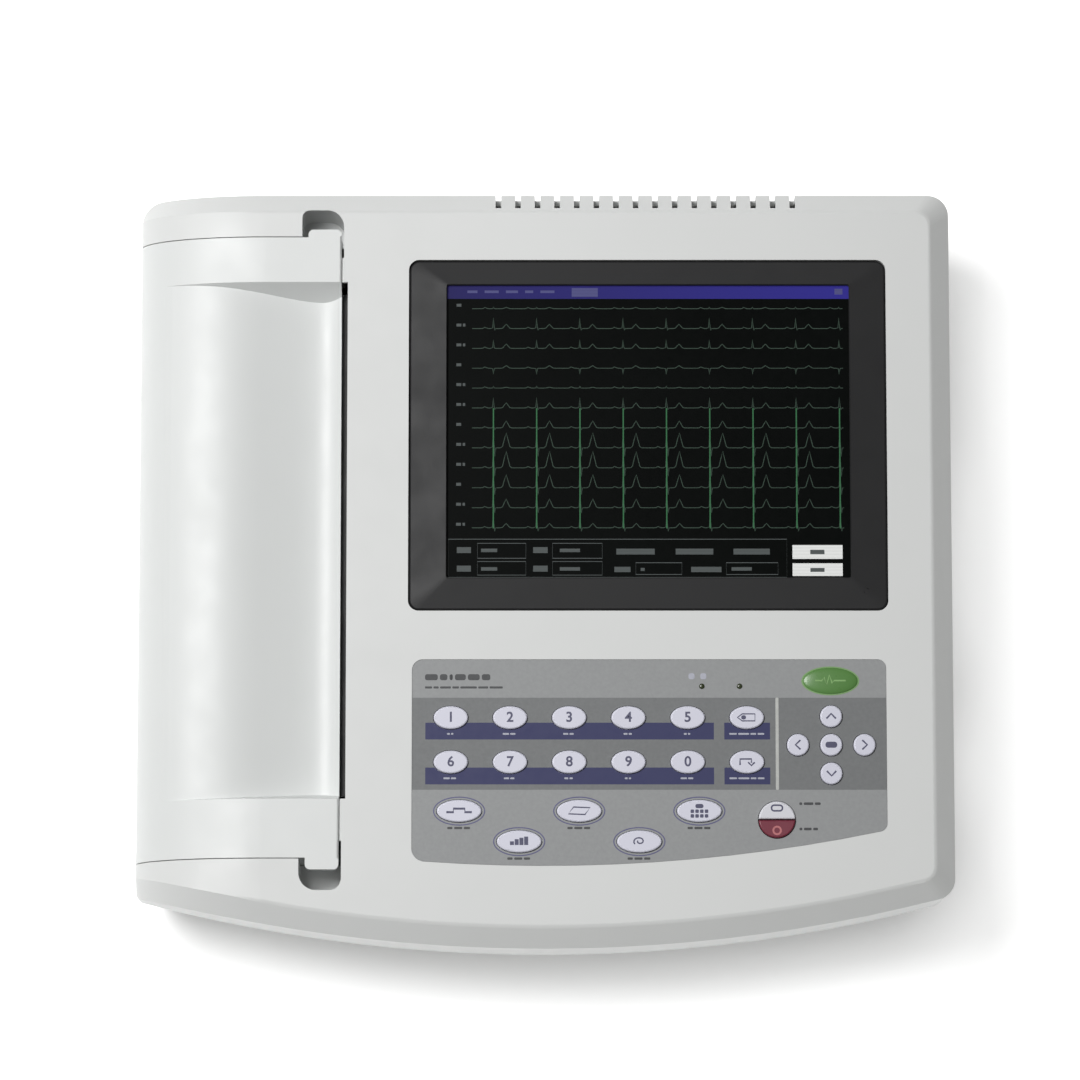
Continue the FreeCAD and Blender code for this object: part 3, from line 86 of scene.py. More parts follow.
class Nodes:
    """A material's node tree, with one short call for each node."""

    def __init__(self, name):
        self.material = bpy.data.materials.new(name)
        self.material.use_nodes = True
        self.tree = self.material.node_tree
        self.shader = self.tree.nodes["Principled BSDF"]
        self.place = self.tree.nodes.new("ShaderNodeTexCoord").outputs["Object"]

    def node(self, kind, inputs=None, **settings):
        made = self.tree.nodes.new("ShaderNode" + kind)
        for key, value in settings.items():
            setattr(made, key, value)
        for key, value in (inputs or {}).items():
            if isinstance(value, bpy.types.NodeSocket):
                self.tree.links.new(value, made.inputs[key])
            else:
                made.inputs[key].default_value = value
        return made

    def link(self, output, name):
        self.tree.links.new(output, self.shader.inputs[name])

    def noise(self, scale, detail=3.0, roughness=0.55, stretch=None):
        place = self.place
        if stretch:
            place = self.node("Mapping", {"Vector": place, "Scale": stretch}).outputs["Vector"]
        inputs = {"Vector": place, "Scale": scale, "Detail": detail, "Roughness": roughness}
        return self.node("TexNoise", inputs).outputs["Fac"]

    def spread(self, value, low, high, start=0.3, end=0.7):
        """Maps a texture's middle range on to low..high."""
        inputs = {"Value": value, "From Min": start, "From Max": end, "To Min": low, "To Max": high}
        return self.node("MapRange", inputs).outputs["Result"]

    def mix(self, factor, first, second):
        made = self.node("Mix", data_type="RGBA")
        self.tree.links.new(factor, made.inputs[0])
        for slot, value in ((6, first), (7, second)):
            if isinstance(value, bpy.types.NodeSocket):
                self.tree.links.new(value, made.inputs[slot])
            else:
                made.inputs[slot].default_value = (*value, 1.0)
        return made.outputs[2]

    def bump(self, height, depth, strength=0.6):
        inputs = {"Height": height, "Strength": strength, "Distance": depth}
        self.link(self.node("Bump", inputs).outputs["Normal"], "Normal")

    def math(self, operation, first, second):
        return self.node("Math", {0: first, 1: second}, operation=operation).outputs[0]


def shade(colour, factor):
    return tuple(max(0.0, min(1.0, c * factor)) for c in colour)


def moulded(name, colour, roughness, grain=1400, depth=0.00003, mottle=0.05, coat=0.0, gloss=0.5):
    """Moulded plastic or rubber: a fine spark-eroded grain, faint flow marks and uneven gloss."""
    n = Nodes(name)
    marks = n.spread(n.noise(9, 4), 0, 1)
    n.link(n.mix(marks, shade(colour, 1 - mottle), shade(colour, 1 + mottle)), "Base Color")
    n.link(n.spread(n.noise(60, 5), roughness - 0.06, roughness + 0.06), "Roughness")
    n.bump(n.noise(grain, 2), depth)
    n.shader.inputs["Specular IOR Level"].default_value = gloss
    if coat:
        n.shader.inputs["Coat Weight"].default_value = coat
        n.shader.inputs["Coat Roughness"].default_value = 0.25
    return n.material


def metal(name, colour, roughness, stretch=(1, 40, 40), scale=60, mottle=0.12):
    """Sheet, rod or can with drawn lines along one axis."""
    n = Nodes(name)
    n.shader.inputs["Metallic"].default_value = 1.0
    lines = n.noise(scale, 6, 0.7, stretch)
    n.link(n.mix(n.spread(lines, 0, 1), shade(colour, 1 - mottle), shade(colour, 1 + mottle)), "Base Color")
    n.link(n.spread(lines, roughness - 0.08, roughness + 0.1), "Roughness")
    n.bump(lines, 0.00002, 0.4)
    return n.material


def printed(name, colour, roughness=0.5):
    """Screen-printed ink: almost flat, with a slight unevenness of the ink film."""
    n = Nodes(name)
    n.link(n.mix(n.spread(n.noise(500, 2), 0, 1), shade(colour, 0.94), shade(colour, 1.06)), "Base Color")
    n.link(n.spread(n.noise(900, 2), roughness - 0.05, roughness + 0.05), "Roughness")
    return n.material


def lit(name, colour, strength):
    """A lit element of the display, broken up by its pixel rows."""
    n = Nodes(name)
    rows = n.node("TexWave", {"Vector": n.place, "Scale": 500.0, "Distortion": 0.0}, bands_direction="Y")
    glow = n.mix(n.spread(rows.outputs["Fac"], 0, 1, 0, 1), shade(colour, 0.72), colour)
    n.link(glow, "Base Color")
    n.link(glow, "Emission Color")
    n.shader.inputs["Emission Strength"].default_value = strength
    n.shader.inputs["Roughness"].default_value = 0.4
    n.shader.inputs["Specular IOR Level"].default_value = 0.1
    return n.material


def paint(material, *nodes):
    """Gives CAD nodes their finish."""
    for name in nodes:
        mesh = frame["nodes"][name].data
        mesh.materials.clear()
        mesh.materials.append(material)


# ---------------------------------------------------------------- mesh helpers


def finish_piece(name, bm, material, body, smooth=False):
    mesh = bpy.data.meshes.new(name)
    bmesh.ops.recalc_face_normals(bm, faces=bm.faces)
    bm.to_mesh(mesh)
    bm.free()
    mesh.materials.append(material)
    for face in mesh.polygons:
        face.use_smooth = smooth
    piece = bpy.data.objects.new(name, mesh)
    bpy.context.scene.collection.objects.link(piece)
    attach(piece, body)
    return piece


def raise_outline(bm, outline, bottom, top):
    """A closed prism on a plan outline in millimetres."""
    low = [bm.verts.new((x * MM, y * MM, bottom * MM)) for x, y in outline]
    high = [bm.verts.new((x * MM, y * MM, top * MM)) for x, y in outline]
    bm.faces.new(low)
    bm.faces.new(high)
    for n in range(len(outline)):
        following = (n + 1) % len(outline)
        bm.faces.new((low[n], low[following], high[following], high[n]))


def raise_line(bm, points, width, bottom, top, closed=False):
    """A closed ribbon of constant width along a plan line in millimetres."""
    count = len(points)
    rails = []
    for n, (x, y) in enumerate(points):
        before = points[n - 1] if n or closed else points[0]
        after = points[(n + 1) % count] if n < count - 1 or closed else points[-1]
        along = Vector((after[0] - before[0], after[1] - before[1]))
        along = along.normalized() if along.length > 1e-9 else Vector((1, 0))
        sx, sy = -along.y * width / 2, along.x * width / 2
        section = [(sx, sy, bottom), (-sx, -sy, bottom), (-sx, -sy, top), (sx, sy, top)]
        rails.append([bm.verts.new(Vector((x + dx, y + dy, z)) * MM) for dx, dy, z in section])
    for n in range(count if closed else count - 1):
        first, second = rails[n], rails[(n + 1) % count]
        for k in range(4):
            following = (k + 1) % 4
            bm.faces.new((first[k], first[following], second[following], second[k]))
    if not closed:
        bm.faces.new(rails[0])
        bm.faces.new(rails[-1])


def rounded(x, y, length, depth, radius, steps=5):
    """Outline of a rounded rectangle about a centre."""
    points = []
    for quarter, (sx, sy) in enumerate(((1, 1), (-1, 1), (-1, -1), (1, -1))):
        cx, cy = x + sx * (length / 2 - radius), y + sy * (depth / 2 - radius)
        for n in range(steps + 1):
            angle = math.pi / 2 * (quarter + n / steps)
            points.append((cx + radius * math.cos(angle), cy + radius * math.sin(angle)))
    return points


def oval(x, y, length, depth, steps=48):
    turn = 2 * math.pi / steps
    return [(x + length / 2 * math.cos(n * turn), y + depth / 2 * math.sin(n * turn)) for n in range(steps)]


def words(x, y, widths, height, gap=0.9):
    """Plain dashes in the place of a line of small print, from x to the right."""
    outlines = []
    for width in widths:
        outlines.append(rounded(x + width / 2, y, width, height, height * 0.3, 2))
        x += width + gap
    return outlines


def prints(name, outlines, level, material, body, slot, lines=(), width=0.3, closed=False, turn=None):
    """One piece from any number of printed outlines and lines, in the plan at a level.

    turn is a matrix that takes the plan to another plane.
    """
    bm = bmesh.new()
    for outline in outlines:
        raise_outline(bm, outline, level - PRINT / 2, level + PRINT / 2)
    for line in lines:
        raise_line(bm, line, width, level - PRINT / 2, level + PRINT / 2, closed)
    if turn:
        bmesh.ops.transform(bm, matrix=turn, verts=bm.verts)
    return finish_piece(name, bm, material, body)


# ---------------------------------------------------------------- materials

case_plastic = moulded("case_plastic", (0.70, 0.71, 0.705), 0.46, 1800, 0.00002, 0.012)
base_plastic = moulded("base_plastic", (0.60, 0.61, 0.60), 0.5, 1500, 0.00003, 0.02)
door_plastic = moulded("door_plastic", (0.71, 0.725, 0.72), 0.42, 1800, 0.000015, 0.012)
foot_rubber = moulded("foot_rubber", (0.035, 0.035, 0.036), 0.8, 900, 0.00008, 0.15)
bezel_plastic = moulded("bezel_plastic", (0.022, 0.022, 0.023), 0.46, 1500, 0.00003, 0.08, gloss=0.22)
dark_plastic = moulded("dark_plastic", (0.02, 0.02, 0.022), 0.42, 1300, 0.00003, 0.15)
tray_plastic = moulded("tray_plastic", (0.10, 0.10, 0.105), 0.5, 1300, 0.00003, 0.1)
spindle_plastic = moulded("spindle_plastic", (0.22, 0.23, 0.25), 0.4, 1300, 0.00003, 0.08)
gear_plastic = moulded("gear_plastic", (0.74, 0.72, 0.62), 0.35, 900, 0.00001, 0.05)
ribbon_plastic = moulded("ribbon_plastic", (0.42, 0.43, 0.46), 0.4, 400, 0.0001, 0.1)
battery_wrap = moulded("battery_wrap", (0.04, 0.07, 0.22), 0.25, 300, 0.00006, 0.08, coat=0.4)
platen_rubber = moulded("platen_rubber", (0.025, 0.025, 0.028), 0.75, 2500, 0.00004, 0.2)
rocker_plastic = moulded("rocker_plastic", (0.03, 0.03, 0.03), 0.22, 1500, 0.00001, 0.1, coat=0.5)
key_plastic = moulded("key_plastic", (0.68, 0.68, 0.78), 0.40, 1500, 0.00001, 0.02)
key_power = moulded("key_power", (0.70, 0.70, 0.75), 0.40, 1500, 0.00001, 0.02)
key_red = moulded("key_red", (0.18, 0.024, 0.045), 0.38, 1500, 0.00001, 0.05)
head_ceramic = moulded("head_ceramic", (0.10, 0.09, 0.085), 0.2, 700, 0.00001, 0.05, coat=0.6)
anodised = moulded("anodised", (0.012, 0.012, 0.013), 0.45, 900, 0.00002, 0.15)
steel = metal("steel", (0.60, 0.60, 0.60), 0.32)
zinc_sheet = metal("zinc_sheet", (0.58, 0.60, 0.58), 0.38, (6, 6, 6), 12, 0.2)
brass = metal("brass", (0.72, 0.52, 0.22), 0.28, (30, 2, 30))
nickel = metal("nickel", (0.72, 0.69, 0.60), 0.25, (30, 2, 30))
tin_plate = metal("tin_plate", (0.60, 0.60, 0.58), 0.34, (4, 4, 30), 20)
motor_metal = moulded("motor_metal", (0.02, 0.02, 0.022), 0.35, 1100, 0.00002, 0.15, coat=0.2)
FIELD_GREYS = (0.300, 0.306, 0.312), (0.322, 0.330, 0.334)
BAND_GREYS = (0.180, 0.186, 0.190), (0.198, 0.204, 0.208)
STRIP_BLUE = (0.037, 0.040, 0.118)


def paper_material():
    """Coated recorder paper wound on its roll, with the rose millimetre grid of its outer turn."""
    n = Nodes("roll_paper")
    turns = n.noise(70, 2, 0.5, (30, 0.5, 30))
    sheet = n.mix(n.spread(turns, 0, 1), (0.76, 0.73, 0.69), (0.84, 0.82, 0.80))
    split = n.node("SeparateXYZ", {"Vector": n.place})
    for pitch, line, ink in ((1.0, 0.12, (0.78, 0.62, 0.60)), (5.0, 0.25, (0.74, 0.45, 0.44))):
        across = n.math("MODULO", n.math("ADD", split.outputs["Y"], 1.0), pitch * MM)
        sheet = n.mix(n.math("LESS_THAN", across, line * MM), sheet, ink)
    n.link(sheet, "Base Color")
    n.link(n.spread(n.noise(500, 4), 0.55, 0.75), "Roughness")
    n.bump(n.noise(1200, 4), 0.00002)
    return n.material


def board_material():
    """Green solder resist over copper tracks, with plated pads."""
    n = Nodes("board_laminate")
    layout = {"Vector": n.place, "Scale": 55.0, "Mortar Size": 0.018, "Brick Width": 0.9}
    tracks = n.node("TexBrick", layout, offset=0.37)
    under = n.mix(tracks.outputs["Fac"], (0.008, 0.085, 0.03), (0.02, 0.17, 0.055))
    pads = n.node("TexVoronoi", {"Vector": n.place, "Scale": 260.0, "Randomness": 0.35})
    mask = n.math("LESS_THAN", pads.outputs["Distance"], 0.16)
    n.link(n.mix(mask, under, (0.62, 0.55, 0.36)), "Base Color")
    n.link(n.spread(n.noise(200, 3), 0.25, 0.45), "Roughness")
    n.bump(tracks.outputs["Fac"], 0.00005)
    return n.material


def overlay_material():
    """Keypad film: grey field, a darker band behind the upper keys and two dark blue strips."""
    n = Nodes("overlay_film")
    split = n.node("SeparateXYZ", {"Vector": n.place})
    x, y = split.outputs["X"], split.outputs["Y"]

    def inside(low_x, high_x, low_y, high_y):
        mask = n.math("GREATER_THAN", x, low_x * MM)
        edges = ((x, "LESS_THAN", high_x), (y, "GREATER_THAN", low_y), (y, "LESS_THAN", high_y))
        for source, side, value in edges:
            mask = n.math("MULTIPLY", mask, n.math(side, source, value * MM))
        return mask

    ink = n.spread(n.noise(700, 2), 0, 1)
    field = n.mix(ink, *FIELD_GREYS)
    band = n.mix(ink, *BAND_GREYS)
    colour = n.mix(inside(OVERLAY_LOW.x - 1, OVERLAY_HIGH.x + 1, BAND_FRONT, BAND_BACK), field, band)
    for low_x, high_x in STRIPS_X:
        for back in STRIPS_BACK:
            colour = n.mix(inside(low_x, high_x, back - STRIP_DEPTH, back), colour, STRIP_BLUE)
    n.link(colour, "Base Color")
    n.link(n.spread(n.noise(300, 3), 0.42, 0.54), "Roughness")
    n.bump(n.noise(2600, 2), 0.00001)
    n.shader.inputs["Specular IOR Level"].default_value = 0.3
    return n.material


def screen_material():
    """Anti-glare glass over a dark panel."""
    n = Nodes("screen_black")
    glass = n.mix(n.spread(n.noise(30, 3), 0, 1), (0.0012, 0.0018, 0.0016), (0.002, 0.0028, 0.0025))
    n.link(glass, "Base Color")
    n.link(n.spread(n.noise(400, 3), 0.32, 0.40), "Roughness")
    n.shader.inputs["Specular IOR Level"].default_value = 0.04
    n.bump(n.noise(3000, 2), 0.000005)
    return n.material


paint(case_plastic, "upper_case")
paint(base_plastic, "lower_case", "battery_cover")
paint(door_plastic, "paper_door")
paint(foot_rubber, "rubber_feet")
paint(steel, "case_screws", "door_hinge_pins", "platen_shaft", "head_springs")
paint(battery_wrap, "battery_pack")
paint(platen_rubber, "platen_roller")
paint(gear_plastic, "platen_gear", "idler_gear")
paint(dark_plastic, "platen_bushings", "ac_inlet")
paint(head_ceramic, "print_head")
paint(anodised, "head_heat_sink")
paint(zinc_sheet, "printer_chassis", "lcd_bracket")
paint(motor_metal, "stepper_motor")
paint(brass, "motor_pinion")
paint(ribbon_plastic, "ribbon_cables")
paint(paper_material(), "paper_roll")
paint(spindle_plastic, "roll_spindle")
paint(tray_plastic, "paper_tray")
paint(bezel_plastic, "lcd_bezel")
paint(screen_material(), "touch_panel")
paint(tin_plate, "lcd_module", "data_ports", "patient_socket")
paint(overlay_material(), "keypad_overlay")
paint(board_material(), "keypad_board", "main_board", "power_supply")
paint(rocker_plastic, "rocker_switch")
paint(nickel, "earth_stud")
PLAIN_KEYS = [name for name in frame["nodes"] if name.startswith("key_") and "power" not in name]
paint(key_plastic, *PLAIN_KEYS)
paint(key_power, "key_power_on")
paint(key_red, "key_power_off")

# ---------------------------------------------------------------- display

LEADS = 12
CHEST = range(6, LEADS)
BEATS = 9
FIRST_BEAT, BEAT_WIDTH = 0.062, 0.1075
FIRST_ROW, ROW_PITCH = 0.079, 0.0682
FIRST_MARK, MARK_HEIGHT = 0.062, 0.010
BEAT_HEIGHT = 0.060
SPIKE_HALF_WIDTH = 0.0016
TRACE_END = 0.985
TRACE_WIDTH, FRAME_WIDTH = 0.34, 0.3
R_PHASE = 0.495
# Phases of one beat at which its line is drawn, closest together round the sharp wave.
PHASES = [n / 24 for n in range(11)] + [0.475, R_PHASE, 0.512, 0.53, 0.55] + [n / 24 for n in range(14, 24)]


def screen_point(u, v):
    """A place on the lit area: u runs from left to right, v from top to bottom, both 0 to 1."""
    left, right = GLASS_LOW.x + GLASS_MARGIN, GLASS_HIGH.x - GLASS_MARGIN
    front, back = GLASS_LOW.y + GLASS_MARGIN, GLASS_HIGH.y - GLASS_MARGIN
    return left + u * (right - left), back - v * (back - front)


def screen_box(u0, v0, u1, v1):
    """Outline of a box on the lit area."""
    (x0, y1), (x1, y0) = screen_point(u0, v0), screen_point(u1, v1)
    return [(x0, y0), (x1, y0), (x1, y1), (x0, y1)]


def wave(phase, lead):
    """Height of one heartbeat at a phase of 0 to 1, for one of the twelve leads."""
    r_wave = (0.10, 0.62, 0.50, -0.35, 0.12, 0.6, 0.15, 0.9, 1.0, 1.0, 0.95, 0.85)[lead]
    s_wave = (0.0, 0.1, 0.0, 0.0, 0.0, 0.1, 0.1, 0.5, 0.5, 0.4, 0.3, 0.2)[lead]
    t_wave = (0.08, 0.25, 0.25, 0.15, 0.05, 0.3, 0.4, 0.85, 0.95, 0.75, 0.5, 0.25)[lead]
    bumps = ((0.30, 0.035, 0.08), (R_PHASE, 0.012, r_wave), (0.53, 0.010, -s_wave), (0.79, 0.055, t_wave))
    return sum(size * math.exp(-(((phase - at) / width) ** 2)) for at, width, size in bumps)


def trace(lead):
    """The line of one lead over the whole screen."""
    row = FIRST_ROW + ROW_PITCH * lead
    points = []
    for beat in range(BEATS):
        for phase in PHASES:
            u = FIRST_BEAT + BEAT_WIDTH * (beat + phase)
            if u < TRACE_END:
                points.append(screen_point(u, row - BEAT_HEIGHT * wave(phase, lead)))
    return points


def sharp_waves():
    """The tall sharp waves of the chest leads, which run into one another down the screen."""
    boxes = []
    for beat in range(BEATS):
        u = FIRST_BEAT + BEAT_WIDTH * (beat + R_PHASE)
        left, right = u - SPIKE_HALF_WIDTH, u + SPIKE_HALF_WIDTH
        for lead in CHEST:
            row = FIRST_ROW + ROW_PITCH * lead
            boxes.append(screen_box(left, row - ROW_PITCH * 0.99, right, row + 0.002))
    return boxes


def title_words():
    """Dashes along the title bar, a tab and the closing mark."""
    boxes = [screen_box(0.31, 0.008, 0.375, 0.038), screen_box(0.965, 0.010, 0.985, 0.030)]
    u = 0.05
    for width in (0.025, 0.035, 0.03, 0.02, 0.035):
        boxes.append(screen_box(u, 0.016, u + width, 0.025))
        u += width + 0.018
    return boxes


PANEL_ROWS = ((0.882, 0.933), (0.944, 0.990))


def panel_words():
    """Dashes in the place of the words in the panel under the traces."""
    boxes = []
    for u0, u1 in ((0.025, 0.06), (0.214, 0.25)):
        for v0 in (0.895, 0.958):
            boxes.append(screen_box(u0, v0, u1, v0 + 0.020))
    for u0, u1 in ((0.42, 0.515), (0.567, 0.66), (0.71, 0.80)):
        boxes.append(screen_box(u0, 0.900, u1, 0.920))
    for u0, u1 in ((0.415, 0.455), (0.605, 0.68)):
        boxes.append(screen_box(u0, 0.962, u1, 0.980))
    for u0, width in ((0.085, 0.04), (0.28, 0.05)):
        for v0 in (0.900, 0.963):
            boxes.append(screen_box(u0, v0, u0 + width, v0 + 0.012))
    boxes.append(screen_box(0.480, 0.966, 0.490, 0.976))
    boxes.append(screen_box(0.705, 0.963, 0.755, 0.975))
    return boxes


def panel_frames():
    """Thin frames round the values in the panel, and round the panel itself."""
    frames = []
    for u0, u1 in ((0.076, 0.196), (0.262, 0.385)):
        frames += [screen_box(u0, v0, u1, v1) for v0, v1 in PANEL_ROWS]
    frames += [screen_box(0.468, 0.948, 0.582, 0.988), screen_box(0.692, 0.948, 0.82, 0.988)]
    frames.append(screen_box(0.004, 0.868, 0.842, 0.998))
    return frames


def title_material():
    """The title bar, which brightens from left to right."""
    n = Nodes("title_blue")
    across = n.node("SeparateXYZ", {"Vector": n.place}).outputs["X"]
    start, end = GLASS_LOW.x * MM, GLASS_HIGH.x * MM
    glow = n.mix(n.spread(across, 0, 1, start, end), (0.013, 0.011, 0.075), (0.024, 0.020, 0.20))
    n.link(glow, "Base Color")
    n.link(glow, "Emission Color")
    n.shader.inputs["Emission Strength"].default_value = 0.35
    n.link(n.spread(n.noise(900, 2), 0.35, 0.45), "Roughness")
    n.shader.inputs["Specular IOR Level"].default_value = 0.1
    return n.material


def lead_marks():
    """Dashes in the place of the name of each lead."""
    boxes = []
    for lead in range(LEADS):
        v = FIRST_MARK + ROW_PITCH * lead
        boxes.append(screen_box(0.023, v, 0.035, v + MARK_HEIGHT))
        if lead % 3:
            boxes.append(screen_box(0.039, v, 0.045, v + MARK_HEIGHT))
    return boxes


def display():
    """Everything the screen shows, as thin prints on the glass."""
    level = SCREEN_TOP + PRINT / 2
    above = level + PRINT
    slot = "screen_black"
    dim = lit("trace_dim", (0.034, 0.055, 0.042), 0.45)
    green = lit("trace_green", (0.030, 0.115, 0.050), 0.55)
    grey = lit("screen_grey", (0.075, 0.085, 0.085), 0.35)
    white = lit("screen_white", (0.72, 0.73, 0.72), 0.30)
    traces = [trace(lead) for lead in range(LEADS)]
    prints("screen_traces", [], level, dim, "base", slot, traces, TRACE_WIDTH)
    prints("screen_sharp_waves", sharp_waves(), above, green, "base", slot)
    prints("screen_title_bar", [screen_box(0.0, 0.0, 1.0, 0.045)], level, title_material(), "base", slot)
    title_ink = lit("title_grey", (0.075, 0.075, 0.20), 0.30)
    prints("screen_title_words", title_words(), above, title_ink, "base", slot)
    prints("screen_lead_marks", lead_marks(), level, grey, "base", slot)
    prints("screen_panel_words", panel_words(), level, grey, "base", slot)
    prints("screen_frames", [], level, grey, "base", slot, panel_frames(), FRAME_WIDTH, closed=True)
    buttons = [screen_box(0.856, v0, 0.98, v1) for v0, v1 in ((0.888, 0.935), (0.950, 0.993))]
    prints("screen_buttons", buttons, level, white, "base", slot)
    marks = [screen_box(0.90, 0.904, 0.935, 0.919), screen_box(0.90, 0.966, 0.935, 0.979)]
    prints("screen_button_words", marks, above, grey, "base", slot)


display()

# ---------------------------------------------------------------- keypad film prints

ink_blue = printed("ink_blue", (0.10, 0.10, 0.21))
ink_dark = printed("ink_dark", (0.05, 0.052, 0.056))
ink_white = printed("ink_white", (0.42, 0.43, 0.50))
ink_key = printed("ink_key", (0.075, 0.075, 0.14))

DIGIT_KEYS = [f"key_{n}" for n in (1, 2, 3, 4, 5, 6, 7, 8, 9, 0)]
FUNCTION_KEYS = ["key_calibrate", "key_gain", "key_feed", "key_patient", "key_print"]
RING_LENGTH, RING_DEPTH, RING_WIDTH = 21.6, 11.9, 0.5
# How far the small print lies in front of its key's centre, under the function keys and on the strips.
UNDER_FUNCTION, UNDER_STRIP_KEY = 7.2, 6.9
# The two rows of dashes at the film's back left corner.
HEADING_INSET, HEADING_ROW, SUBHEADING_ROW = 5.4, -48.0, -52.4
POWER_PRINT_RIGHT, POWER_PRINT_ROWS = 9.5, (2.2, -8.6)
LAMP_PRINT_X, LAMP_PRINT_ROW = (62.6, 67.6), -47.6
DIVIDER_WIDTH = 1.3


def film_prints():
    """Everything printed on the keypad film: rings, small dashes and the divider."""
    level = OVERLAY_TOP + PRINT / 2
    rings = []
    for key in FUNCTION_KEYS:
        middle = centre_mm(key)
        rings.append(oval(middle.x, middle.y, RING_LENGTH, RING_DEPTH))
    film = ("base", "overlay_film")
    prints("function_key_rings", [], level, ink_blue, *film, rings, RING_WIDTH, closed=True)
    small = []
    for key in FUNCTION_KEYS:
        middle = centre_mm(key)
        small += words(middle.x - 5.0, middle.y - UNDER_FUNCTION, (2.2, 3.4, 2.6), 1.0, 0.7)
    power = centre_mm("key_power_on")
    for row, widths in zip(POWER_PRINT_ROWS, ((1.2, 4.0, 2.4), (1.2, 3.2, 2.0))):
        small += words(power.x + POWER_PRINT_RIGHT, power.y + row, widths, 1.1, 0.7)
    left = OVERLAY_LOW.x + HEADING_INSET
    small += words(left, HEADING_ROW, (5.4, 3.2, 1.4, 4.6, 5.0, 3.6), 2.6, 0.9)
    small += words(left, SUBHEADING_ROW, (3.0, 2.2, 4.6, 2.8, 7.0, 4.2, 5.6), 0.9, 0.6)
    prints("film_small_print", small, level, ink_dark, *film)
    light = []
    for n, key in enumerate(DIGIT_KEYS):
        middle = centre_mm(key)
        width = 1.2 + 0.5 * ((n * 7) % 4)
        row = middle.y - UNDER_STRIP_KEY
        light += words(middle.x - width - 0.4, row, (width, width * 0.8), 0.75, 0.5)
    for key in ("key_delete", "key_shift"):
        middle = centre_mm(key)
        light += words(middle.x - 7.5, middle.y - UNDER_STRIP_KEY, (3.2, 4.6, 2.4, 2.8), 0.75, 0.6)
    for x in LAMP_PRINT_X:
        light += words(x - 1.4, LAMP_PRINT_ROW, (2.6,), 2.6)
    prints("film_light_print", light, level, ink_white, *film)
    band_middle = (BAND_BACK + BAND_FRONT) / 2
    divider = rounded(DIVIDER_X, band_middle, DIVIDER_WIDTH, BAND_BACK - BAND_FRONT, 0.3, 2)
    prints("film_divider", [divider], level, printed("ink_pale", (0.50, 0.51, 0.49)), *film)


def dome(name, x, y, length, depth, bottom, rise, material, slot, steps=48, rings=7):
    """A low oval dome on the keypad film."""
    bm = bmesh.new()

    def ring(scale, z):
        points = oval(x, y, length * scale, depth * scale, steps)
        return [bm.verts.new(Vector((*point, z)) * MM) for point in points]

    rows = [ring(1.0, bottom - PRINT / 2)]
    for n in range(rings):
        angle = n / rings * math.pi / 2
        rows.append(ring(math.cos(angle) ** 0.8, bottom + rise * math.sin(angle)))
    crown = bm.verts.new(Vector((x, y, bottom + rise)) * MM)
    bm.faces.new(rows[0])
    for first, second in zip(rows, rows[1:]):
        for k in range(steps):
            following = (k + 1) % steps
            bm.faces.new((first[k], first[following], second[following], second[k]))
    for k in range(steps):
        bm.faces.new((rows[-1][k], rows[-1][(k + 1) % steps], crown))
    return finish_piece(name, bm, material, "base", smooth=True)


BADGE_X, BADGE_Y = 121.4, -49.6
RIM_LENGTH, RIM_DEPTH = 24.6, 12.4
DOME_LENGTH, DOME_DEPTH, DOME_RISE = 23.4, 11.4, 0.9
LAMPS_X, LAMPS_Y = (66.9, 82.9), -51.9
LENS_WIDTH, LENS_RISE = 2.3, 0.5


def badge():
    """A domed oval badge with a plain pulse line on a lighter rim."""
    rim = moulded("badge_rim", (0.20, 0.36, 0.14), 0.35, 900, 0.00001, 0.1)
    outline = oval(BADGE_X, BADGE_Y, RIM_LENGTH, RIM_DEPTH)
    prints("badge_rim", [outline], OVERLAY_TOP + PRINT / 2, rim, "base", "overlay_film")
    green = moulded("badge_green", (0.098, 0.240, 0.058), 0.30, 900, 0.00001, 0.12, coat=0.4)
    dome("badge", BADGE_X, BADGE_Y, DOME_LENGTH, DOME_DEPTH, OVERLAY_TOP, DOME_RISE, green, "overlay_film")
    pulse = [(-6.5, 0), (-3.6, 0), (-2.6, 1.4), (-1.6, -1.8), (-0.4, 2.4), (0.8, -1.2), (1.6, 0), (6.5, 0)]
    line = [(BADGE_X + x, BADGE_Y + y) for x, y in pulse]
    bm = bmesh.new()
    raise_line(bm, line, 0.7, OVERLAY_TOP + 0.4, OVERLAY_TOP + DOME_RISE + 0.06)
    finish_piece("badge_pulse", bm, printed("ink_lime", (0.22, 0.42, 0.14)), "base")


def status_lamps():
    """Two small dark lenses over the lamps on the keypad board."""
    lens = moulded("lamp_lens", (0.030, 0.040, 0.012), 0.25, 900, 0.00001, 0.1, coat=0.6)
    for name, x in zip(("status_lamp_1", "status_lamp_2"), LAMPS_X):
        size = (LENS_WIDTH, LENS_WIDTH)
        dome(name, x, LAMPS_Y, *size, OVERLAY_TOP, LENS_RISE, lens, "overlay_film", steps=24, rings=5)


film_prints()
badge()
status_lamps()

# ---------------------------------------------------------------- key legends


FIGURE_HEIGHT = 6.0
# How much each stroke of a figure is widened on either side.
FIGURE_WEIGHT = 0.13
LEGEND_LEVEL = KEY_TOP + PRINT / 4


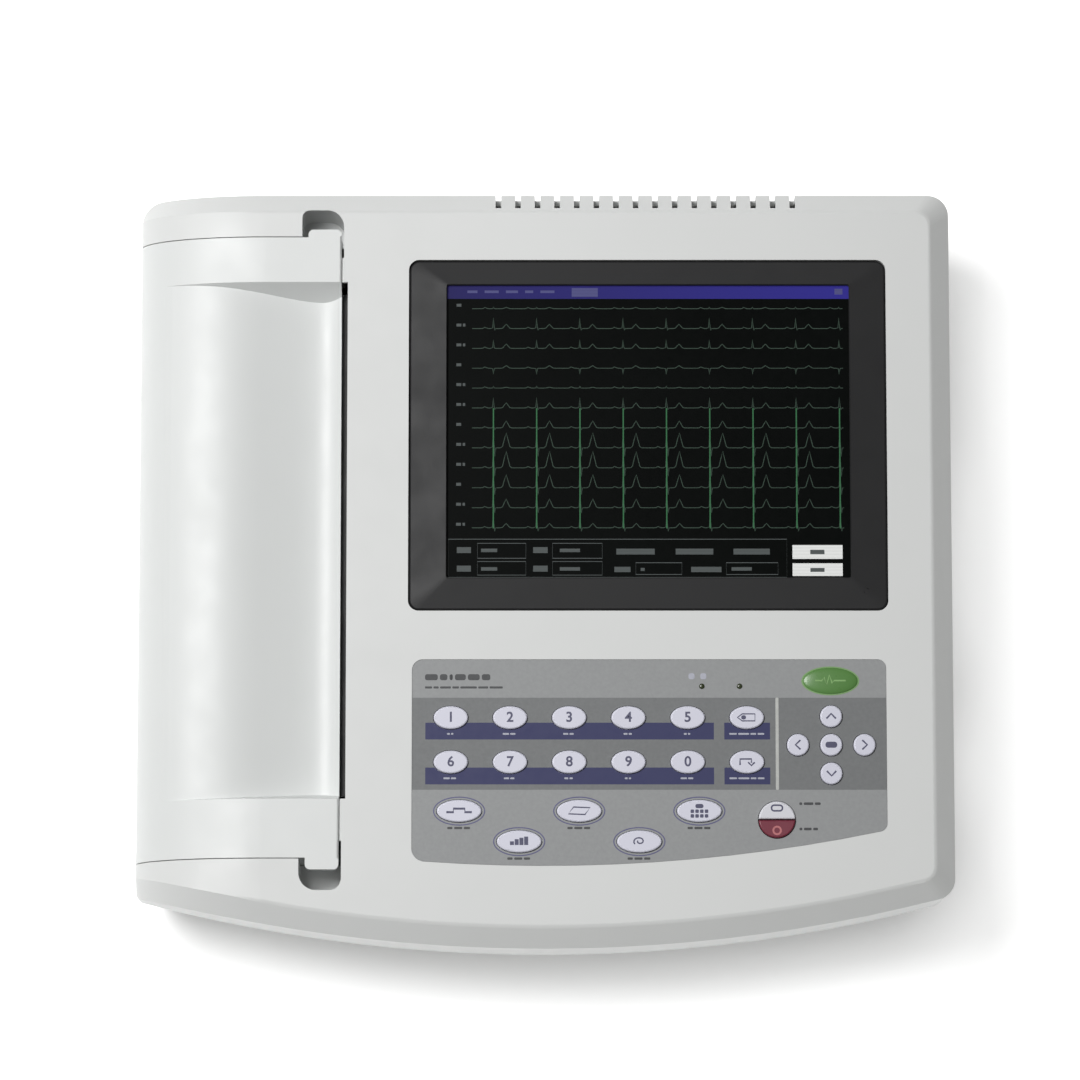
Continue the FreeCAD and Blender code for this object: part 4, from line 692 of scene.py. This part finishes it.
def figure(key):
    """The printed figure of a digit key, centred on it."""
    name = key + "_legend"
    curve = bpy.data.curves.new(name, "FONT")
    curve.body = key[-1]
    curve.size = FIGURE_HEIGHT * MM
    curve.extrude = PRINT / 2 * MM
    curve.offset = FIGURE_WEIGHT * MM
    curve.align_x, curve.align_y = "CENTER", "CENTER"
    drawn = bpy.data.objects.new(name, curve)
    bpy.context.scene.collection.objects.link(drawn)
    bpy.context.view_layer.update()
    mesh = bpy.data.meshes.new_from_object(drawn.evaluated_get(bpy.context.evaluated_depsgraph_get()))
    bpy.data.objects.remove(drawn)
    bpy.data.curves.remove(curve)
    bm = bmesh.new()
    bm.from_mesh(mesh)
    bpy.data.meshes.remove(mesh)
    bmesh.ops.remove_doubles(bm, verts=bm.verts, dist=1e-7)
    middle = centre_mm(key)
    bmesh.ops.translate(bm, verts=bm.verts, vec=Vector((middle.x, middle.y, LEGEND_LEVEL)) * MM)
    return finish_piece(name, bm, ink_key, key + "_body")


def legend(key, outlines=(), lines=(), width=0.55, material=None, slot="key_plastic", closed=False):
    """Printed marks on a key, given about the key's centre."""
    middle = centre_mm(key)
    moved = [[(middle.x + x, middle.y + y) for x, y in outline] for outline in outlines]
    drawn = [[(middle.x + x, middle.y + y) for x, y in line] for line in lines]
    ink = material or ink_key
    return prints(key + "_legend", moved, LEGEND_LEVEL, ink, key + "_body", slot, drawn, width, closed)


def legends():
    """The digits and the simple marks on all the other keys."""
    for key in DIGIT_KEYS:
        figure(key)
    chevron = [(-2.0, -1.0), (0.0, 1.1), (2.0, -1.0)]
    turns = {"key_up": 0, "key_left": 90, "key_down": 180, "key_right": 270}
    for key, turn in turns.items():
        c, s = math.cos(math.radians(turn)), math.sin(math.radians(turn))
        legend(key, lines=[[(x * c - y * s, x * s + y * c) for x, y in chevron]], width=0.75)
    legend("key_ok", [rounded(0, 0, 5.0, 2.6, 1.2)])
    tag = [(-4, 0), (-2, 1.5), (3.4, 1.5), (3.4, -1.5), (-2, -1.5)]
    legend("key_delete", [rounded(-1.4, 0, 2.0, 1.8, 0.8)], [tag], closed=True)
    hook, tip = [(-3, -1.4), (-3, 1.2), (1.8, 1.2), (1.8, -0.4)], [(0.4, -0.2), (1.8, -1.6), (3.2, -0.2)]
    legend("key_shift", lines=[hook, tip], width=0.7)
    step = [(-5.4, -0.6), (-2.4, -0.6), (-2.4, 0.9), (2.4, 0.9), (2.4, -0.6), (5.4, -0.6)]
    legend("key_calibrate", lines=[step], width=0.95)
    heights = ((-3.9, 0.0), (-1.9, 0.9), (0.1, 1.5), (2.1, 2.0))
    legend("key_gain", [[(x, -1.6), (x + 1.7, -1.6), (x + 1.7, top), (x, top)] for x, top in heights])
    sheet = [(-4.6, -1.3), (-2.4, 1.6), (4.6, 1.3), (2.4, -1.6)]
    legend("key_feed", lines=[sheet], width=0.6, closed=True)
    winds = [1.2 + 0.2 * n for n in range(18)]
    swirl = [(0.55 * a * math.cos(2.2 * a), 0.42 * a * math.sin(2.2 * a)) for a in winds]
    legend("key_patient", lines=[swirl], width=0.6)
    stack = [rounded(x, y, 1.5, 1.5, 0.3, 2) for y in (-2.2, -0.2) for x in (-3.0, -1.0, 1.0, 3.0)]
    legend("key_print", stack + [rounded(0, 2.0, 3.4, 1.8, 0.8)])
    legend("key_power_on", lines=[rounded(0, 0.2, 4.6, 2.4, 1.1)], width=0.7, slot="key_power", closed=True)
    ring = oval(0, 0, 3.2, 3.2, 32)
    red = printed("ink_rose", (0.50, 0.16, 0.17))
    legend("key_power_off", lines=[ring], width=0.8, material=red, slot="key_red", closed=True)


legends()

# ---------------------------------------------------------------- marks on the sides and underside

SIDE_PLANE = Matrix(((0, 0, 1, 0), (1, 0, 0, 0), (0, 1, 0, 0), (0, 0, 0, 1)))
REAR_PLANE = Matrix(((-1, 0, 0, 0), (0, 0, 1, 0), (0, 1, 0, 0), (0, 0, 0, 1)))
# Faces of the recessed panels on the right side and at the back.
SOCKET_PANEL, REAR_PANEL = 162.5, 151.0
SOCKET_MARK_HEIGHT = 32.4
EARTH_RING = 16.4
PLATE_X, PLATE_Y, PLATE_LENGTH, PLATE_DEPTH = -40.0, 20.0, 74.0, 46.0
PLATE_ROWS, PLATE_PITCH = 6, 6.2


def socket_marks():
    """Dashes over each socket on the right, and a ring round the earth stud at the back."""
    first = centre_mm("patient_socket").y
    marks = words(first - 6.0, SOCKET_MARK_HEIGHT, (3.0, 4.4, 2.6), 1.1, 0.8)
    for y, width in ((18.1, 4.0), (39.2, 3.0), (-4.8, 3.0)):
        marks += words(y - width, SOCKET_MARK_HEIGHT, (width, width * 0.7), 1.1, 0.8)
    case = ("base", "case_lower")
    prints("side_marks", marks, SOCKET_PANEL + PRINT / 2, ink_dark, *case, turn=SIDE_PLANE)
    stud = centre_mm("earth_stud")
    ring = oval(-stud.x, stud.z, EARTH_RING, EARTH_RING, 40)
    level = REAR_PANEL + PRINT / 2
    prints("earth_mark", [], level, ink_dark, *case, [ring], 0.5, closed=True, turn=REAR_PLANE)


def rating_plate():
    """A plain metallised label with rows of dashes, under the case."""
    place, size = (PLATE_X, PLATE_Y), (PLATE_LENGTH, PLATE_DEPTH)
    level = UNDERSIDE - PRINT / 2
    silver = metal("label_silver", (0.62, 0.62, 0.62), 0.42, (1, 60, 1), 40, 0.05)
    prints("rating_plate", [rounded(*place, *size, 2.5)], level, silver, "base", "case_lower")
    left, first_row = PLATE_X - PLATE_LENGTH / 2 + 4, PLATE_Y + PLATE_DEPTH / 2 - 7
    rows = []
    for n in range(PLATE_ROWS):
        widths = [3.0 + 1.6 * ((n * 5 + k * 3) % 4) for k in range(7)]
        rows += words(left, first_row - PLATE_PITCH * n, widths, 1.6, 1.4)
    frame_line = rounded(*place, PLATE_LENGTH - 3, PLATE_DEPTH - 3, 1.8)
    low = level - PRINT
    prints("rating_print", rows, low, ink_dark, "base", "case_lower", [frame_line], 0.4, closed=True)


socket_marks()
rating_plate()

# ---------------------------------------------------------------- floor, light and camera, in metres

FLOOR_HALF = 4.0
# How far round the case the floor's painted contact shadow reaches.
PAINTED_SHADOW_REACH = 0.032
KEY_LIGHT_PLACE, KEY_LIGHT_SIZE, KEY_LIGHT_POWER = (-0.76, 0.38, 1.84), 1.0, 31.5
LIGHT_TARGET = Vector((0, 0, 0.04))
CAMERA_TILT, CAMERA_DISTANCE, CAMERA_LENS = 10, 2.8, 219.1
CAMERA_AIM = Vector((-0.0018, 0.0111, CASE_TOP * MM))
# Brightness of the surroundings along each axis: where it starts and ends, and the level at either end.
SKY_RANGES = (("X", -1, 1, 0.36, 0.05), ("Y", -1, 1, 0.9, 1.0), ("Z", 0, 0.8, 0.5, 1.15))


def stage():
    """A plain pale floor, whose own glow fades where the case stands close: a painted contact shadow round
    the case.
    """
    n = Nodes("floor")
    tone = n.mix(n.spread(n.noise(3, 2), 0, 1), (0.87, 0.87, 0.87), (0.89, 0.89, 0.89))
    n.link(tone, "Base Color")
    n.shader.inputs["Roughness"].default_value = 0.8
    n.shader.inputs["Emission Color"].default_value = (1.0, 1.0, 1.0, 1.0)
    # Painted contact shadow: ambient occlusion dims the floor's own glow close to the case.
    painted_shadow_fade = n.node("AmbientOcclusion", {"Distance": PAINTED_SHADOW_REACH}, samples=8).outputs["AO"]
    n.link(n.spread(painted_shadow_fade, 0.18, 0.66, 0.45, 1.0), "Emission Strength")
    bm = bmesh.new()
    bmesh.ops.create_grid(bm, x_segments=2, y_segments=2, size=FLOOR_HALF)
    mesh = bpy.data.meshes.new("floor")
    bm.to_mesh(mesh)
    bm.free()
    mesh.materials.append(n.material)
    floor = bpy.data.objects.new("floor", mesh)
    bpy.context.scene.collection.objects.link(floor)


def key_light():
    """One round softbox high on the left, a little behind the case."""
    data = bpy.data.lights.new("key_light", "AREA")
    data.shape = "DISK"
    data.size = KEY_LIGHT_SIZE
    data.energy = KEY_LIGHT_POWER
    light = bpy.data.objects.new("key_light", data)
    light.location = KEY_LIGHT_PLACE
    towards = LIGHT_TARGET - Vector(KEY_LIGHT_PLACE)
    light.rotation_euler = towards.to_track_quat("-Z", "Y").to_euler()
    bpy.context.scene.collection.objects.link(light)


def camera():
    """Almost overhead, tipped ten degrees towards the operator."""
    tilt = math.radians(CAMERA_TILT)
    back = Vector((0, -math.sin(tilt), math.cos(tilt)))
    data = bpy.data.cameras.new("camera")
    data.sensor_width = 36.0
    data.lens = CAMERA_LENS
    data.clip_end = 20
    eye = bpy.data.objects.new("camera", data)
    eye.location = CAMERA_AIM + back * CAMERA_DISTANCE
    eye.rotation_euler = back.to_track_quat("Z", "Y").to_euler()
    bpy.context.scene.collection.objects.link(eye)
    bpy.context.scene.camera = eye


def world():
    """Soft studio surroundings: brightest overhead and on the left."""
    sky = bpy.data.worlds.new("studio")
    sky.use_nodes = True
    tree = sky.node_tree
    split = tree.nodes.new("ShaderNodeSeparateXYZ")
    tree.links.new(tree.nodes.new("ShaderNodeTexCoord").outputs["Generated"], split.inputs[0])
    levels = []
    for axis, at_low, at_high, low, high in SKY_RANGES:
        level = tree.nodes.new("ShaderNodeMapRange")
        tree.links.new(split.outputs[axis], level.inputs["Value"])
        for name, value in (("From Min", at_low), ("From Max", at_high), ("To Min", low), ("To Max", high)):
            level.inputs[name].default_value = value
        levels.append(level.outputs["Result"])
    for other in levels[1:]:
        product = tree.nodes.new("ShaderNodeMath")
        product.operation = "MULTIPLY"
        tree.links.new(levels[0], product.inputs[0])
        tree.links.new(other, product.inputs[1])
        levels[0] = product.outputs[0]
    background = tree.nodes["Background"]
    background.inputs["Color"].default_value = (1.0, 1.0, 0.97, 1.0)
    tree.links.new(levels[0], background.inputs["Strength"])
    bpy.context.scene.world = sky
    bpy.context.scene.view_settings.view_transform = "Standard"


stage()
key_light()
world()
camera()
